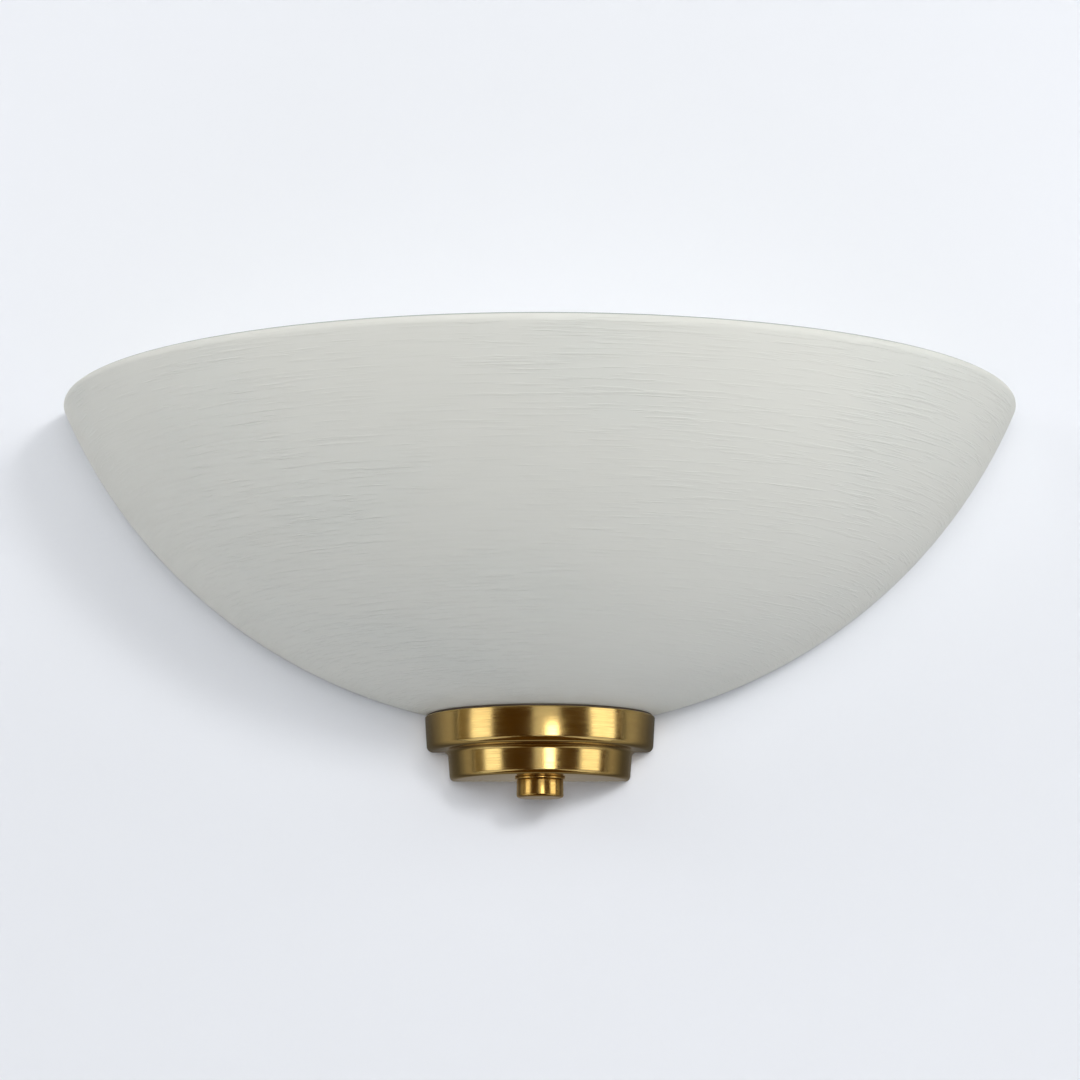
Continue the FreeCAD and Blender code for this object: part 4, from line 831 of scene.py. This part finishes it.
def one_sided(name, colour, glow):
    """A stage surface seen and lit from its front alone, so that it never hides the object.

    Far from the object it glows faintly for the rays that look at it, as a lit room would."""
    material, tree, shader = new_material(name, Roughness=0.8, Specular_IOR_Level=0.15,
                                          Emission_Color=colour)
    place = object_place(tree)
    grain = use_group(tree, MOTTLE, Vector=place, Patch_Scale=1.5, Speck_Scale=260.0)
    patches = spread(tree, grain["Patch"], 0.0, 0.35)
    shaded = blend_colours(tree, patches, colour, (0.80, 0.82, 0.86, 1))
    tree.links.new(shaded, shader.inputs["Base Color"])
    path = node(tree, "ShaderNodeLightPath").outputs
    back = node(tree, "ShaderNodeNewGeometry").outputs["Backfacing"]
    reach = node(tree, "ShaderNodeVectorMath", {0: place}, operation="LENGTH").outputs["Value"]
    far_off = spread(tree, reach, 0.0, glow, 0.5, 1.4)
    tree.links.new(reckon(tree, "MULTIPLY", rays_that_look(tree, path), far_off),
                   shader.inputs["Emission Strength"])
    clear_where(tree, reckon(tree, "MAXIMUM", back, path["Is Shadow Ray"]), shader)
    return material


def stage_plane(name, size, place, turn, colour, glow):
    """Adds the wall or the floor, which aren't part of the object."""
    plane = add(name, bpy.ops.mesh.primitive_plane_add, size=size, location=place, rotation=turn)
    settle()
    plane.data.materials.append(one_sided(name + "_paint", colour, glow))


stage_plane("wall", 6.0, (0, 0.0006, 1.6), (math.pi / 2, 0, 0), (0.84, 0.86, 0.90, 1), 0.8)
stage_plane("floor", 8.0, (0, -3.9, -1.4), (0, 0, 0), (0.84, 0.85, 0.87, 1), 0.7)

# ---------------------------------------------------------------- lamps and room light

LAMP_AIM = (0, -0.06, -0.03)


def studio_lamp(name, azimuth, elevation, distance, width, height, watts, glossy=True,
                diffuse=True):
    """A soft box placed round the object: azimuth 0 is the camera's side and 90 the right."""
    turn, rise = math.radians(azimuth), math.radians(elevation)
    place = (distance * math.cos(rise) * math.sin(turn),
             -distance * math.cos(rise) * math.cos(turn), distance * math.sin(rise))
    data = bpy.data.lights.new(name, "AREA")
    data.shape = "RECTANGLE"
    data.size = width
    data.size_y = height
    data.energy = watts
    lamp = bpy.data.objects.new(name, data)
    bpy.context.scene.collection.objects.link(lamp)
    lamp.location = place
    aim = Vector(LAMP_AIM) - Vector(place)
    lamp.rotation_euler = aim.to_track_quat("-Z", "Y").to_euler()
    lamp.visible_glossy = glossy
    lamp.visible_diffuse = diffuse


studio_lamp("key", 24, 17, 2.2, 0.4, 0.4, 13.5, glossy=False)
studio_lamp("front_fill", 2, 9, 2.2, 1.2, 1.0, 18, glossy=False)
studio_lamp("front_strip", 12, -3.4, 2.2, 0.44, 0.62, 4.4, diffuse=False)
studio_lamp("window_right", 66, 12, 1.7, 0.85, 1.3, 5.0)
studio_lamp("soft_right", 72, 26, 1.6, 0.9, 1.0, 4, glossy=False)
studio_lamp("window_left", -60, 10, 1.7, 0.75, 1.3, 3.4)
studio_lamp("soft_left", -72, 26, 1.6, 0.9, 1.0, 7, glossy=False)
studio_lamp("top_fill", 10, 62, 2.2, 1.4, 1.2, 4)
studio_lamp("behind", 200, 30, 1.7, 1.2, 1.2, 10)

ROOM_FILL = 0.06
ROOM_SHOWN = 0.84  # added where a ray looks at the room itself

world = bpy.data.worlds.new("room")
bpy.context.scene.world = world
world.use_nodes = True
sky = world.node_tree
looked_at = rays_that_look(sky, node(sky, "ShaderNodeLightPath").outputs)
backing = sky.nodes["Background"].inputs
sky.links.new(reckon(sky, "MULTIPLY_ADD", looked_at, ROOM_SHOWN, ROOM_FILL), backing["Strength"])
backing["Color"].default_value = (0.93, 0.95, 1.0, 1)

# ---------------------------------------------------------------- cards that paint reflections

CUP_LEVEL = -78
# Tones of the screens seen only in reflections; they paint the dark bands in the brass.
DARK_REFLECTION = (0.10, 0.05, 0.008, 1)
TAN_REFLECTION = (0.3, 0.24, 0.14, 1)


def shiny_only(screen, material):
    """Lets only reflections in shiny pieces see a screen, as a card set beside metal."""
    screen.data.materials.append(material)
    for ray in ("camera", "diffuse", "transmission", "shadow", "volume_scatter"):
        setattr(screen, "visible_" + ray, False)


def reflection_flag_paint(name, tone):
    """Matt paint in a dark tone, faded in patches, for screens that paint dark reflections."""
    material, tree, shader = new_material(name, Roughness=1.0, Specular_IOR_Level=0.0)
    weave = use_group(tree, MOTTLE, Vector=object_place(tree), Patch_Scale=6.0)
    patches = spread(tree, weave["Patch"], 0.0, 0.3)
    faded = blend_colours(tree, patches, tone, (0.03, 0.018, 0.006, 1))
    tree.links.new(faded, shader.inputs["Base Color"])
    return material


def flag(name, start, end, tone):
    """A dark screen between two azimuths, seen only in reflections: it paints a dark band into the
    brass.
    """
    distance, level, height = 0.9, 0.07, 0.9
    turn = math.radians((start + end) / 2)
    place = (distance * math.sin(turn), -distance * math.cos(turn), level)
    screen = add(name, bpy.ops.mesh.primitive_plane_add, size=1, location=place,
                 rotation=(math.pi / 2, 0, turn))
    width = 2 * distance * math.tan(math.radians((end - start) / 2))
    screen.scale = (width, height, 1)
    settle()
    shiny_only(screen, reflection_flag_paint(name + "_cloth", tone))


def wall_card():
    """A round card on the wall behind the cup, seen only in reflections, that glows with painted
    shade: dark beside the cup and at its rim.
    """
    card = add("wall_card", bpy.ops.mesh.primitive_circle_add, vertices=48, radius=1.2,
               fill_type="NGON", location=(0, 0.0003, CUP_LEVEL * MM),
               rotation=(math.pi / 2, 0, 0))
    settle()
    material, tree, unused_shader = new_material("wall_card_painted_reflection")
    tree.nodes.remove(unused_shader)
    place = object_place(tree, (0, 0, CUP_LEVEL))
    reach = node(tree, "ShaderNodeVectorMath", {0: place}, operation="LENGTH").outputs["Value"]
    # The curve paints the shaded wall around the cup as the brass reflects it.
    painted_wall_shade = node(tree, "ShaderNodeFloatCurve", {"Value": reckon(tree, "MULTIPLY", reach, 2.0)})
    curve = painted_wall_shade.mapping.curves[0]
    points = ((0.0, 0.32), (0.05, 0.26), (0.078, 0.10), (0.105, 0.18), (0.21, 0.42), (0.3, 0.42),
              (0.6, 0.2), (1.0, 0.1))
    curve.points[0].location = points[0]
    curve.points[1].location = points[-1]
    for point in points[1:-1]:
        curve.points.new(*point)
    painted_wall_shade.mapping.update()
    glow = node(tree, "ShaderNodeEmission", {"Color": (1.0, 0.97, 0.92, 1),
                                             "Strength": painted_wall_shade.outputs[0]})
    clear_where(tree, node(tree, "ShaderNodeNewGeometry").outputs["Backfacing"], glow)
    shiny_only(card, material)


def low_card():
    """A dark card below and in front, seen only in reflections: it paints a dark reflection into
    the rolled lower edges of the cup.
    """
    card = add("low_card", bpy.ops.mesh.primitive_plane_add, size=1, location=(0, -1.2, -0.9))
    card.scale = (1.5, 2.4, 1)
    settle()
    shiny_only(card, reflection_flag_paint("low_card_painted_reflection", DARK_REFLECTION))


# The flags paint the dark reflection bands in the brass cup and knob.
flag("flag_left", -49, -7, DARK_REFLECTION)
flag("flag_right", 19, 50, DARK_REFLECTION)
flag("flag_far_left", -89, -74, TAN_REFLECTION)
flag("flag_far_right", 80, 89, DARK_REFLECTION)
wall_card()
low_card()

# ---------------------------------------------------------------- camera

camera_data = bpy.data.cameras.new("camera")
camera_data.lens = 134.6
camera_data.sensor_width = 36
camera = bpy.data.objects.new("camera", camera_data)
bpy.context.scene.collection.objects.link(camera)
camera.location = (-0.0016, -1.2811, -0.1994)
camera.rotation_euler = (math.pi / 2 + 0.1523, 0.0005, -0.0012)
bpy.context.scene.camera = camera
bpy.context.scene.view_settings.view_transform = "Standard"
